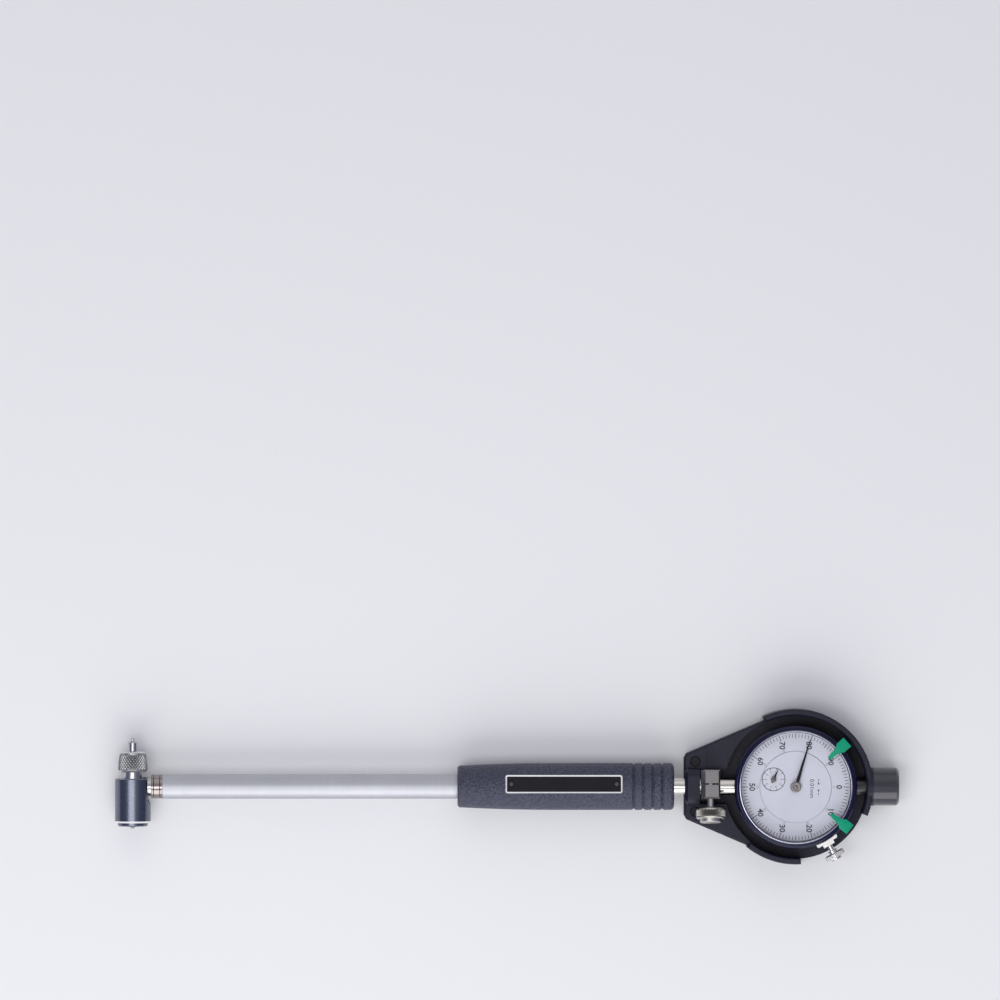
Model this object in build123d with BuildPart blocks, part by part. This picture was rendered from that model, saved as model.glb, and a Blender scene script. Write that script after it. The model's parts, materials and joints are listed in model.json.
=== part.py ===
"""Dial bore gauge for holes of about 35 to 60 mm, lying on its back.

X runs along the handle from the measuring head to the dial, Y along the measuring line
and Z up through the dial face. Lengths are millimetres, angles degrees.
"""
import os
from math import atan2, cos, degrees, hypot, pi, radians, sin, sqrt

from build123d import *

os.makedirs("parts", exist_ok=True)

# Driving sizes of the measuring head
SLEEVE_D = 16.7
SLEEVE_WALL = 1.2
SLEEVE_RISE = 3.6
SLEEVE_LENGTH = 20.5
SLEEVE_END_D = 14.0
SLEEVE_END_LENGTH = 1.6
GUIDE_TRAVEL = 2.0
NECK_D = 9.0
CONTACT_D = 4.0
CONTACT_REACH = 1.1
CRANK_ARM = 4.6
NUT_D = 14.2
NUT_LENGTH = 9.55
ANVIL_D = 4.1
ANVIL_REACH = 6.4

# Driving sizes of the tube and handle
RING_LENGTH = 5.1
RING_D = 11.2
TUBE_D = 11.5
TUBE_VISIBLE = 137.2
GRIP_D = 21.8
GRIP_NOSE_D = 19.4
GRIP_LENGTH = 100.6
GRIP_SWELL = 45.0
TUBE_INSET = 5.6
GROOVE_COUNT = 4
GROOVE_PITCH = 4.4
PLATE_LENGTH = 54.3
PLATE_WIDTH = 8.5
PLATE_START = 22.3
ROLL = 8.0
SHAFT_D = 8.36
SHAFT_VISIBLE = 4.7
SHAFT_SPIGOT = 16.0
SHAFT_GRIP = 3.4
SPIGOT_LENGTH = 8.2
ROD_D = 3.0

# Driving sizes of the stem clamp
CLAMP_LENGTH = 8.9
CLAMP_WIDTH = 13.5
CLAMP_RISE = 10.4
CLAMP_SCREW_D = 3.4
KNOB_D = 13.9
KNOB_LENGTH = 4.6

# Driving sizes of the indicator
BEZEL_D = 57.0
BEZEL_TOP = 12.4
CASE_DEPTH = 8.1
STEM_D = 8.0
SPINDLE_D = 4.5
SPINDLE_OVERHANG = 6.0
RACK_DEPTH = 0.29
COUNTER_SHARE = 0.409
PINION_TEETH = 16
WHEEL_TEETH = 100
CENTRE_TEETH = 10
RACK_PITCH = 0.625
STEP_SHARE = 0.659
HAND_SHORT = 2.2
COUNTER_HAND_LENGTH = 5.0
HAND_READING = 1.797
MARKER_TAB = 3.3
MARKER_ANGLE_A = 41.5
MARKER_ANGLE_B = -38.0
BEZEL_CLAMP_ANGLE = -60.0

# Driving sizes of the guard
GUARD_NECK = 51.7
GUARD_MOUTH = 26.6
GUARD_WALL = 3.0
GUARD_STEP = 1.0
RIM_TOP = 8.0
RIM_START_ANGLE = -22.0
RIM_END_ANGLE = 115.0
FOOT_START_ANGLE = -129.0
FOOT_END_ANGLE = -86.0
END_TUBE_D = 17.8
END_TUBE_LENGTH = 12.0
CAP_LENGTH = 10.6
ARCH_LENGTH = 7.35
WINDOW_WIDTH = 16.4

# Fits
RUN = 0.05
PRESS = 0.02
TOUCH = 0.03
PART_GAP = 0.3

# Places along the gauge axis, from the measuring line
SLEEVE_R = SLEEVE_D / 2
RING_START = SLEEVE_R + PART_GAP
TUBE_START = RING_START + RING_LENGTH
GRIP_START = TUBE_START + TUBE_VISIBLE
GRIP_END = GRIP_START + GRIP_LENGTH
GUARD_START = GRIP_END + SHAFT_VISIBLE
DIAL_REACH = GUARD_START + GUARD_NECK
BEZEL_R = BEZEL_D / 2
RECESS_R = BEZEL_R + MARKER_TAB + 1.2
RIM_R = RECESS_R + GUARD_WALL
END_REACH = DIAL_REACH + RIM_R + END_TUBE_LENGTH

# The frame sits under the middle of the gauge, on the plane it lies on
GRIP_R = GRIP_D / 2
AXIS_Z = GRIP_R
HEAD_X = -(END_REACH - SLEEVE_R) / 2
DIAL_X = HEAD_X + DIAL_REACH
ORIGIN = (HEAD_X, 0, AXIS_Z)
DIAL_ORIGIN = (DIAL_X, 0, AXIS_Z)

# Section planes: (place along the axis, radius); for the dial (radius, height)
GAUGE = Plane(origin=ORIGIN, x_dir=(1, 0, 0), z_dir=(0, -1, 0))
GAUGE_AXIS = Axis(ORIGIN, (1, 0, 0))
HEAD = Plane(origin=ORIGIN, x_dir=(0, 1, 0), z_dir=(1, 0, 0))
HEAD_AXIS = Axis(ORIGIN, (0, 1, 0))
DIAL = Plane(origin=DIAL_ORIGIN, x_dir=(1, 0, 0), z_dir=(0, -1, 0))
DIAL_AXIS = Axis(DIAL_ORIGIN, (0, 0, 1))


def across(place):
    """Plane square to the gauge axis, x along Y and y up."""
    return Plane(origin=(HEAD_X + place, 0, AXIS_Z), x_dir=(0, 1, 0), z_dir=(1, 0, 0))


def rolled(place, rise=0.0):
    """Plane across the gauge axis, turned with the handle's roll, y up."""
    turn = radians(ROLL)
    side = (0, cos(turn), -sin(turn))
    origin = (HEAD_X + place, rise * sin(turn), AXIS_Z + rise * cos(turn))
    return Plane(origin=origin, x_dir=side, z_dir=(1, 0, 0))


def rolled_level(place, rise):
    """Plane along the handle at a height above its axis, turned with its roll."""
    turn = radians(ROLL)
    origin = (HEAD_X + place, rise * sin(turn), AXIS_Z + rise * cos(turn))
    return Plane(origin=origin, x_dir=(1, 0, 0), z_dir=(0, sin(turn), cos(turn)))


def head_level(height):
    """Level plane over the measuring line."""
    return Plane(origin=(HEAD_X, 0, AXIS_Z + height))


def dial_level(height, centre=(0, 0), angle=0.0):
    """Level plane of the dial, moved to a centre and turned about it."""
    turn = radians(angle)
    origin = (DIAL_X + centre[0], centre[1], AXIS_Z + height)
    return Plane(origin=origin, x_dir=(cos(turn), sin(turn), 0), z_dir=(0, 0, 1))


def outline(plane, *points):
    """Face inside a closed run of straight lines."""
    with BuildSketch(plane) as face:
        with BuildLine():
            Polyline(*points, close=True)
        make_face()
    return face.sketch


def disc(plane, radius, hole=0.0):
    """Round face, with a round hole where one is given."""
    with BuildSketch(plane) as face:
        Circle(radius)
        if hole:
            Circle(hole, mode=Mode.SUBTRACT)
    return face.sketch


def wrapped(plane, *circles):
    """Face wrapped tightly round circles given as x, y and radius."""
    with BuildSketch(plane) as face:
        with BuildLine():
            for x, y, radius in circles:
                CenterArc((x, y), radius, 0, 360)
        make_hull()
    return face.sketch


def sector(plane, inner, outer, start, end):
    """Part of a ring between two angles."""
    with BuildSketch(plane) as face:
        with BuildLine():
            rim = CenterArc((0, 0), outer, start, end - start)
            bore = CenterArc((0, 0), inner, start, end - start)
            Line(rim @ 0, bore @ 0)
            Line(rim @ 1, bore @ 1)
        make_face()
    return face.sketch


def toothed(plane, teeth, pitch_r, share, above, below, first):
    """Gear face whose teeth take a share of the pitch on the pitch circle."""
    points = []
    step = 2 * pi / teeth
    flank = 0.12 * step
    for tooth in range(teeth):
        middle = radians(first) + tooth * step
        half = share * step / 2
        for radius, angle in (
            (pitch_r - below, middle - half - flank),
            (pitch_r + above, middle - half + flank),
            (pitch_r + above, middle + half - flank),
            (pitch_r - below, middle + half + flank),
        ):
            points.append((radius * cos(angle), radius * sin(angle)))
    return outline(plane, *points)


def saw_toothed(plane, teeth, tip_r, root_r, first):
    """Gear face with one point at each tip and root, for very fine teeth."""
    points = []
    step = 2 * pi / teeth
    for tooth in range(teeth):
        angle = radians(first) + tooth * step
        points.append((tip_r * cos(angle), tip_r * sin(angle)))
        points.append((root_r * cos(angle + step / 2), root_r * sin(angle + step / 2)))
    return outline(plane, *points)


# Levels of the measuring head along the measuring line
SLEEVE_TOP = SLEEVE_RISE
SLEEVE_RIM = SLEEVE_TOP - SLEEVE_LENGTH
SLEEVE_FLOOR = SLEEVE_RIM + 0.5
SLEEVE_END = SLEEVE_RIM - SLEEVE_END_LENGTH
SLEEVE_IR = SLEEVE_R - SLEEVE_WALL
HEAD_R = SLEEVE_IR - RUN
HEAD_BOTTOM = SLEEVE_FLOOR + GUIDE_TRAVEL + 0.5
NUT_BOTTOM = SLEEVE_TOP + GUIDE_TRAVEL + 1.05
NUT_TOP = NUT_BOTTOM + NUT_LENGTH
NUT_ROOF = NUT_TOP - 1.77
COLLAR_HEIGHT = 1.4
BOSS_TOP = NUT_ROOF - TOUCH - COLLAR_HEIGHT
ANVIL_TIP = NUT_TOP + ANVIL_REACH
ANVIL_R = ANVIL_D / 2
NECK_R = NECK_D / 2
THREAD_R = 4.0
SHAFT_R = SHAFT_D / 2
TUBE_IR = SHAFT_R + PRESS
SPIGOT_R = TUBE_IR - PRESS
SPIGOT_END = TUBE_START + SPIGOT_LENGTH
ROD_R = ROD_D / 2

# Bell crank: equal arms square to each other, with a rounded pad at each end
PAD_R = 1.0
ARM_R = 0.6
PIVOT_R = 1.5
PIN_R = 0.8
PIN_HALF = sqrt(HEAD_R**2 - (CRANK_ARM + PIN_R) ** 2) - 0.1
CRANK_THICK = 2.6
CRANK_SLOT = 3.2
NOSE_TOP = -(CRANK_ARM + PAD_R + TOUCH)
ROD_START = CRANK_ARM + PAD_R + TOUCH

# Contact plunger and its bush
CONTACT_R = CONTACT_D / 2
PLUNGER_COLLAR_R = CONTACT_R + 0.45
PLUNGER_COLLAR_TOP = NOSE_TOP - 0.87
BUSH_TOP = PLUNGER_COLLAR_TOP - 0.5 - TOUCH
BUSH_R = CONTACT_R + 1.5
COLLAR_BORE_R = PLUNGER_COLLAR_R + 0.15
COLLAR_BORE_TOP = NOSE_TOP + 0.6
SPRING_POCKET = 5.0
SPRING_WIRE = 0.7
GUIDE_SPRING_R = (BUSH_R + HEAD_R) / 2
POCKET_HALF = SPRING_WIRE / 2 + 0.5

# Head body: turned cross piece, hollow for the bell crank, the contact and the push rod
with BuildPart() as head_body:
    revolve(
        outline(
            HEAD,
            (HEAD_BOTTOM, 0),
            (HEAD_BOTTOM, HEAD_R - 0.4),
            (HEAD_BOTTOM + 0.4, HEAD_R),
            (SLEEVE_TOP - 0.5, HEAD_R),
            (SLEEVE_TOP, HEAD_R - 0.5),
            (SLEEVE_TOP, THREAD_R + 1.2),
            (SLEEVE_TOP + 0.8, THREAD_R + 1.2),
            (SLEEVE_TOP + 0.8, THREAD_R + 0.45),
            (NUT_BOTTOM - RUN, THREAD_R + 0.45),
            (NUT_BOTTOM - RUN, THREAD_R),
            (BOSS_TOP, THREAD_R),
            (BOSS_TOP, 0),
        ),
        axis=HEAD_AXIS,
    )
    extrude(disc(across(0), NECK_R), amount=RING_START)
    extrude(disc(across(RING_START), SPIGOT_R), amount=SPIGOT_END - RING_START)
    revolve(
        outline(
            HEAD,
            (HEAD_BOTTOM, 0),
            (HEAD_BOTTOM, BUSH_R),
            (BUSH_TOP, BUSH_R),
            (BUSH_TOP, COLLAR_BORE_R),
            (COLLAR_BORE_TOP, COLLAR_BORE_R),
            (COLLAR_BORE_TOP, 0),
        ),
        axis=HEAD_AXIS,
        mode=Mode.SUBTRACT,
    )
    revolve(
        outline(
            HEAD,
            (HEAD_BOTTOM, GUIDE_SPRING_R - POCKET_HALF),
            (HEAD_BOTTOM, GUIDE_SPRING_R + POCKET_HALF),
            (HEAD_BOTTOM + SPRING_POCKET, GUIDE_SPRING_R + POCKET_HALF),
            (HEAD_BOTTOM + SPRING_POCKET, GUIDE_SPRING_R - POCKET_HALF),
        ),
        axis=HEAD_AXIS,
        mode=Mode.SUBTRACT,
    )
    revolve(
        outline(
            HEAD,
            (NUT_BOTTOM - 1.0, 0),
            (NUT_BOTTOM - 1.0, ANVIL_R),
            (BOSS_TOP, ANVIL_R),
            (BOSS_TOP, 0),
        ),
        axis=HEAD_AXIS,
        mode=Mode.SUBTRACT,
    )
    extrude(
        outline(
            head_level(-CRANK_SLOT / 2),
            (-PAD_R - 0.5, -CRANK_ARM - PIVOT_R - 0.3),
            (CRANK_ARM + PIVOT_R + 0.3, -CRANK_ARM - PIVOT_R - 0.3),
            (CRANK_ARM + PIVOT_R + 0.3, -NECK_R + 1.0),
            (ROD_START + 1.7, -NECK_R + 1.0),
            (ROD_START + 1.7, PAD_R + 0.5),
            (CRANK_ARM - PAD_R - 0.6, PAD_R + 0.5),
            (CRANK_ARM - PAD_R - 0.6, -CRANK_ARM + PAD_R + 1.4),
            (-PAD_R - 0.5, -CRANK_ARM + PAD_R + 1.4),
        ),
        amount=CRANK_SLOT,
        mode=Mode.SUBTRACT,
    )
    extrude(disc(across(CRANK_ARM), ROD_R + 0.2), amount=SPIGOT_END, mode=Mode.SUBTRACT)
    with BuildSketch(head_level(-PIN_HALF)):
        with Locations((CRANK_ARM, -CRANK_ARM)):
            Circle(PIN_R)
    extrude(amount=2 * PIN_HALF, mode=Mode.SUBTRACT)
head_body.part.label = "head_body"

# Guide sleeve: sprung cup that centres the gauge in a bore, slotted to pass the neck
SLOT_R = NECK_R + 0.2
SLOT_FOOT = -(NECK_R + GUIDE_TRAVEL + 2.2) + SLOT_R
with BuildPart() as guide_sleeve:
    revolve(
        outline(
            HEAD,
            (SLEEVE_TOP, SLEEVE_IR),
            (SLEEVE_TOP, SLEEVE_R - 0.3),
            (SLEEVE_TOP - 0.3, SLEEVE_R),
            (SLEEVE_RIM + 0.8, SLEEVE_R),
            (SLEEVE_RIM, SLEEVE_R - 0.8),
            (SLEEVE_RIM, SLEEVE_END_D / 2),
            (SLEEVE_END + 0.5, SLEEVE_END_D / 2),
            (SLEEVE_END, SLEEVE_END_D / 2 - 0.5),
            (SLEEVE_END, SLEEVE_END_D / 2 - 1.8),
            (SLEEVE_END + 0.8, SLEEVE_END_D / 2 - 2.6),
            (SLEEVE_END + 0.8, CONTACT_R + 0.15),
            (SLEEVE_FLOOR, CONTACT_R + 0.15),
            (SLEEVE_FLOOR, SLEEVE_IR),
        ),
        axis=HEAD_AXIS,
    )
    with BuildSketch(across(0)):
        with Locations((SLOT_FOOT, 0)):
            Circle(SLOT_R)
        with Locations(((SLOT_FOOT + SLEEVE_TOP + 1) / 2, 0)):
            Rectangle(SLEEVE_TOP + 1 - SLOT_FOOT, 2 * SLOT_R)
    extrude(amount=SLEEVE_D, mode=Mode.SUBTRACT)
guide_sleeve.part.label = "guide_sleeve"

# Guide spring: coil between the sleeve's floor and the pocket in the head body
GUIDE_SPRING_LENGTH = HEAD_BOTTOM + SPRING_POCKET - SLEEVE_FLOOR - SPRING_WIRE - 0.2
with BuildPart() as guide_spring:
    with BuildLine() as guide_coil:
        Helix(
            GUIDE_SPRING_LENGTH / 3,
            GUIDE_SPRING_LENGTH,
            GUIDE_SPRING_R,
            center=(HEAD_X, SLEEVE_FLOOR + SPRING_WIRE / 2 + 0.1, AXIS_Z),
            direction=(0, 1, 0),
        )
    with BuildSketch(Plane(origin=guide_coil.line @ 0, x_dir=(0, 1, 0), z_dir=guide_coil.line % 0)):
        Rectangle(SPRING_WIRE, SPRING_WIRE)
    sweep(is_frenet=True)
guide_spring.part.label = "guide_spring"

# Contact bush: plain bearing pressed into the foot of the head body
with BuildPart() as contact_bush:
    revolve(
        outline(
            HEAD,
            (HEAD_BOTTOM, CONTACT_R + RUN),
            (HEAD_BOTTOM, BUSH_R - PRESS),
            (BUSH_TOP, BUSH_R - PRESS),
            (BUSH_TOP, CONTACT_R + RUN),
        ),
        axis=HEAD_AXIS,
    )
contact_bush.part.label = "contact_bush"

# Contact plunger: moves in as the bore pushes it, its collar rests on the bush
TIP_R = 1.0
TIP_END = SLEEVE_END - CONTACT_REACH
PLUNGER_END = TIP_END + TIP_R
TIP_DEPTH = 3.0
with BuildPart() as contact_plunger:
    revolve(
        outline(
            HEAD,
            (PLUNGER_END, TIP_R - 0.2),
            (PLUNGER_END, TIP_R + 0.3),
            (PLUNGER_END + 0.7, CONTACT_R),
            (PLUNGER_COLLAR_TOP - 0.5, CONTACT_R),
            (PLUNGER_COLLAR_TOP - 0.5, PLUNGER_COLLAR_R),
            (PLUNGER_COLLAR_TOP, PLUNGER_COLLAR_R),
            (PLUNGER_COLLAR_TOP, PAD_R + 0.1),
            (NOSE_TOP, PAD_R + 0.1),
            (NOSE_TOP, 0),
            (PLUNGER_END + TIP_DEPTH, 0),
            (PLUNGER_END + TIP_DEPTH, TIP_R - 0.2),
        ),
        axis=HEAD_AXIS,
    )
contact_plunger.part.label = "contact_plunger"

# Contact tip: hard rounded end pressed into the plunger
with BuildPart() as contact_tip:
    with BuildSketch(HEAD):
        with BuildLine():
            Polyline(
                (TIP_END, 0),
                (PLUNGER_END + TIP_DEPTH - PRESS, 0),
                (PLUNGER_END + TIP_DEPTH - PRESS, TIP_R - 0.2 - PRESS),
                (PLUNGER_END, TIP_R - 0.2 - PRESS),
                (PLUNGER_END, TIP_R),
            )
            TangentArc((PLUNGER_END, TIP_R), (TIP_END, 0), tangent=(-1, 0))
        make_face()
    revolve(axis=HEAD_AXIS)
contact_tip.part.label = "contact_tip"

# Bell crank: takes the contact's push and gives it to the push rod, one to one
with BuildPart() as bell_crank:
    level = head_level(-CRANK_THICK / 2)
    corner = (CRANK_ARM, -CRANK_ARM, ARM_R)
    extrude(wrapped(level, (0, -CRANK_ARM, ARM_R), corner), amount=CRANK_THICK)
    extrude(wrapped(level, (CRANK_ARM, 0, ARM_R), corner), amount=CRANK_THICK)
    with BuildSketch(level):
        with Locations((0, -CRANK_ARM), (CRANK_ARM, 0)):
            Circle(PAD_R)
        with Locations((CRANK_ARM, -CRANK_ARM)):
            Circle(PIVOT_R)
    extrude(amount=CRANK_THICK)
    with BuildSketch(level):
        with Locations((CRANK_ARM, -CRANK_ARM)):
            Circle(PIN_R + TOUCH)
    extrude(amount=CRANK_THICK, mode=Mode.SUBTRACT)
bell_crank.part.label = "bell_crank"

# Crank pin: fixed across the head body
with BuildPart() as crank_pin:
    with BuildSketch(head_level(-PIN_HALF)):
        with Locations((CRANK_ARM, -CRANK_ARM)):
            Circle(PIN_R)
    extrude(amount=2 * PIN_HALF)
crank_pin.part.label = "crank_pin"

# Anvil: exchangeable rod whose collar sits on the boss
with BuildPart() as anvil:
    revolve(
        outline(
            HEAD,
            (NUT_BOTTOM - 0.9, 0),
            (NUT_BOTTOM - 0.9, ANVIL_R - PRESS),
            (BOSS_TOP, ANVIL_R - PRESS),
            (BOSS_TOP, THREAD_R - 0.7),
            (BOSS_TOP + COLLAR_HEIGHT, THREAD_R - 0.7),
            (BOSS_TOP + COLLAR_HEIGHT, ANVIL_R),
            (ANVIL_TIP - 2.4, ANVIL_R),
            (ANVIL_TIP - 1.7, ANVIL_R - 0.5),
            (ANVIL_TIP - 1.5, 0.7),
            (ANVIL_TIP - 0.4, 0.7),
            (ANVIL_TIP, 0.35),
            (ANVIL_TIP, 0),
        ),
        axis=HEAD_AXIS,
    )
anvil.part.label = "anvil"

# Anvil nut: cap nut over the boss that clamps the anvil's collar
NUT_R = NUT_D / 2
NUT_CROWN = 1.0
with BuildPart() as anvil_nut:
    revolve(
        outline(
            HEAD,
            (NUT_BOTTOM, THREAD_R + RUN),
            (NUT_BOTTOM, NUT_R - 1.0),
            (NUT_BOTTOM + 1.0, NUT_R),
            ((NUT_BOTTOM + NUT_TOP) / 2, NUT_R - NUT_CROWN / 4),
            (NUT_TOP - 0.8, NUT_R - NUT_CROWN),
            (NUT_TOP, NUT_R - NUT_CROWN - 0.8),
            (NUT_TOP, ANVIL_R + 0.1),
            (NUT_ROOF, ANVIL_R + 0.1),
            (NUT_ROOF, THREAD_R + RUN),
        ),
        axis=HEAD_AXIS,
    )
anvil_nut.part.label = "anvil_nut"

# Neck ring: grooved ring that closes the joint between head and tube
RING_R = RING_D / 2
with BuildPart() as neck_ring:
    revolve(
        outline(
            GAUGE,
            (RING_START, SPIGOT_R + PRESS),
            (RING_START, RING_R - 0.2),
            (RING_START + 0.2, RING_R),
            (RING_START + 0.9, RING_R),
            (RING_START + 1.1, RING_R - 0.3),
            (RING_START + 1.3, RING_R),
            (TUBE_START - 1.3, RING_R),
            (TUBE_START - 1.1, RING_R - 0.3),
            (TUBE_START - 0.9, RING_R),
            (TUBE_START, RING_R),
            (TUBE_START, SPIGOT_R + PRESS),
        ),
        axis=GAUGE_AXIS,
    )
neck_ring.part.label = "neck_ring"

# Tube: runs from the neck ring to near the rear of the grip
TUBE_R = TUBE_D / 2
TUBE_END = GRIP_END - TUBE_INSET
with BuildPart() as tube:
    revolve(
        outline(
            GAUGE,
            (TUBE_START, TUBE_IR),
            (TUBE_START, TUBE_R - 0.2),
            (TUBE_START + 0.2, TUBE_R),
            (TUBE_END, TUBE_R),
            (TUBE_END, TUBE_IR),
        ),
        axis=GAUGE_AXIS,
    )
tube.part.label = "tube"

# Stem clamp places: the shaft ends inside it and the stem starts there
CLAMP_START = GUARD_START + ARCH_LENGTH + 0.45
SHAFT_START = TUBE_END - SHAFT_SPIGOT
SHAFT_END = CLAMP_START + SHAFT_GRIP
STEM_START = SHAFT_END + 0.1
STEM_R = STEM_D / 2
SPINDLE_R = SPINDLE_D / 2
SHAFT_IR = SPINDLE_R + 0.65
SPINDLE_START = STEM_START - SPINDLE_OVERHANG
POINT_LENGTH = 7.0
ROD_END = SPINDLE_START - POINT_LENGTH - TOUCH

# Push rod: carries the crank's push through the tube, with a collar for its spring
ROD_COLLAR_START = SPIGOT_END + 1.0
ROD_COLLAR_END = ROD_COLLAR_START + 2.0
ROD_COLLAR_R = TUBE_IR - 0.9
with BuildPart() as push_rod:
    revolve(
        outline(
            GAUGE,
            (ROD_START, 0),
            (ROD_START, ROD_R - 0.3),
            (ROD_START + 0.3, ROD_R),
            (ROD_COLLAR_START, ROD_R),
            (ROD_COLLAR_START, ROD_COLLAR_R),
            (ROD_COLLAR_END, ROD_COLLAR_R),
            (ROD_COLLAR_END, ROD_R),
            (ROD_END - 0.3, ROD_R),
            (ROD_END, ROD_R - 0.3),
            (ROD_END, 0),
        ),
        axis=GAUGE_AXIS,
    )
push_rod.part.label = "push_rod"

# Rod bushes: one in the tube behind the spring, one in the front of the shaft
ROD_SPRING_SPACE = 14.0
FRONT_BUSH_START = ROD_COLLAR_END + ROD_SPRING_SPACE
with BuildPart() as rod_bush_front:
    extrude(disc(across(FRONT_BUSH_START), TUBE_IR - PRESS, ROD_R + RUN), amount=4.0)
rod_bush_front.part.label = "rod_bush_front"

with BuildPart() as rod_bush_rear:
    extrude(disc(across(SHAFT_START), SHAFT_IR - PRESS, ROD_R + RUN), amount=5.0)
rod_bush_rear.part.label = "rod_bush_rear"

# Rod spring: coil that presses the rod and the contact outwards
ROD_SPRING_R = ROD_R + SPRING_WIRE / 2 + 0.4
ROD_SPRING_LENGTH = ROD_SPRING_SPACE - SPRING_WIRE - 0.2
with BuildPart() as rod_spring:
    with BuildLine() as rod_coil:
        Helix(
            ROD_SPRING_LENGTH / 4,
            ROD_SPRING_LENGTH,
            ROD_SPRING_R,
            center=(HEAD_X + ROD_COLLAR_END + SPRING_WIRE / 2 + 0.1, 0, AXIS_Z),
            direction=(1, 0, 0),
        )
    with BuildSketch(Plane(origin=rod_coil.line @ 0, x_dir=(1, 0, 0), z_dir=rod_coil.line % 0)):
        Rectangle(SPRING_WIRE, SPRING_WIRE)
    sweep(is_frenet=True)
rod_spring.part.label = "rod_spring"

# Grip: moulded handle on the tube, swelling to the rear, with ring grooves and a plate seat
NOSE_R = GRIP_NOSE_D / 2
GRIP_ROUND = 2.0
GROOVE_LAST = GRIP_END - 5.5
PLATE_THICK = 0.9
PLATE_SEAT = GRIP_R - 1.95
PLATE_MID = GRIP_START + PLATE_START + PLATE_LENGTH / 2
RIVET_R = 0.5
RIVET_INSET = 2.7
RIVET_DEPTH = 2.0
RIVETS = ((RIVET_INSET - PLATE_LENGTH / 2, 0), (PLATE_LENGTH / 2 - RIVET_INSET, 0))
with BuildPart() as grip:
    with BuildSketch(GAUGE):
        with BuildLine():
            Polyline(
                (GRIP_START + 0.8, NOSE_R),
                (GRIP_START, NOSE_R - 0.8),
                (GRIP_START, TUBE_R + PRESS),
                (TUBE_END + PRESS, TUBE_R + PRESS),
                (TUBE_END + PRESS, SHAFT_R + PRESS),
                (GRIP_END, SHAFT_R + PRESS),
                (GRIP_END, GRIP_R - GRIP_ROUND),
            )
            TangentArc((GRIP_END - GRIP_ROUND, GRIP_R), (GRIP_END, GRIP_R - GRIP_ROUND), tangent=(1, 0))
            Line((GRIP_END - GRIP_ROUND, GRIP_R), (GRIP_START + GRIP_SWELL, GRIP_R))
            TangentArc((GRIP_START + GRIP_SWELL, GRIP_R), (GRIP_START + 0.8, NOSE_R), tangent=(-1, 0))
        make_face()
    revolve(axis=GAUGE_AXIS)
    for groove in range(GROOVE_COUNT):
        place = GROOVE_LAST - groove * GROOVE_PITCH
        revolve(
            outline(
                GAUGE,
                (place - 1.0, GRIP_R + 0.1),
                (place, GRIP_R - 0.7),
                (place + 1.0, GRIP_R + 0.1),
            ),
            axis=GAUGE_AXIS,
            mode=Mode.SUBTRACT,
        )
    with BuildSketch(rolled_level(PLATE_MID, PLATE_SEAT)):
        RectangleRounded(PLATE_LENGTH + 2 * PRESS, PLATE_WIDTH + 2 * PRESS, 1.0)
    extrude(amount=GRIP_R, mode=Mode.SUBTRACT)
    with BuildSketch(rolled_level(PLATE_MID, PLATE_SEAT - RIVET_DEPTH)):
        with Locations(*RIVETS):
            Circle(RIVET_R)
    extrude(amount=RIVET_DEPTH, mode=Mode.SUBTRACT)
grip.part.label = "grip"

# Name plate: bare field inside a raised frame, riveted into its seat
PLATE_FRAME = 0.6
with BuildPart() as name_plate:
    with BuildSketch(rolled_level(PLATE_MID, PLATE_SEAT)):
        RectangleRounded(PLATE_LENGTH, PLATE_WIDTH, 1.0)
    extrude(amount=PLATE_THICK)
    with BuildSketch(rolled_level(PLATE_MID, PLATE_SEAT + PLATE_THICK - 0.3)):
        RectangleRounded(PLATE_LENGTH - 2 * PLATE_FRAME, PLATE_WIDTH - 2 * PLATE_FRAME, 0.4)
    extrude(amount=1.0, mode=Mode.SUBTRACT)
    with BuildSketch(rolled_level(PLATE_MID, PLATE_SEAT)):
        with Locations(*RIVETS):
            Circle(RIVET_R)
    extrude(amount=PLATE_THICK, mode=Mode.SUBTRACT)
name_plate.part.label = "name_plate"

# Plate rivets: one at each end of the name plate
with BuildPart() as plate_rivets:
    with BuildSketch(rolled_level(PLATE_MID, PLATE_SEAT - RIVET_DEPTH)):
        with Locations(*RIVETS):
            Circle(RIVET_R)
    extrude(amount=RIVET_DEPTH + PLATE_THICK - 0.3)
    with BuildSketch(rolled_level(PLATE_MID, PLATE_SEAT + PLATE_THICK - 0.3)):
        with Locations(*RIVETS):
            Circle(2 * RIVET_R)
    extrude(amount=0.4, taper=20)
plate_rivets.part.label = "plate_rivets"

# Shaft: spigoted into the rear of the tube and gripped by the guard cap and the stem clamp
with BuildPart() as shaft:
    extrude(disc(across(SHAFT_START), SHAFT_R, SHAFT_IR), amount=SHAFT_END - SHAFT_START)
shaft.part.label = "shaft"

# Stem clamp: split block on the shaft's end that holds the indicator's stem
CLAMP_MID = CLAMP_START + CLAMP_LENGTH / 2
CLAMP_HALF = CLAMP_WIDTH / 2
CLAMP_SCREW_R = CLAMP_SCREW_D / 2
CLAMP_SCREW_RISE = SHAFT_R + CLAMP_SCREW_R + 1.7
SCREW_DIR = (0, -cos(radians(ROLL)), sin(radians(ROLL)))
SCREW_ORIGIN = rolled(CLAMP_MID, CLAMP_SCREW_RISE).origin
CLAMP_SCREW = Plane(origin=SCREW_ORIGIN, x_dir=SCREW_DIR, z_dir=(1, 0, 0))
CLAMP_SCREW_AXIS = Axis(SCREW_ORIGIN, SCREW_DIR)
CLAMP_UP = Axis(SCREW_ORIGIN, rolled_level(CLAMP_MID, CLAMP_SCREW_RISE).z_dir)
CLAMP_BEVEL_SHAFT = 2.0
CLAMP_BEVEL_STEM = 0.8
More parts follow.
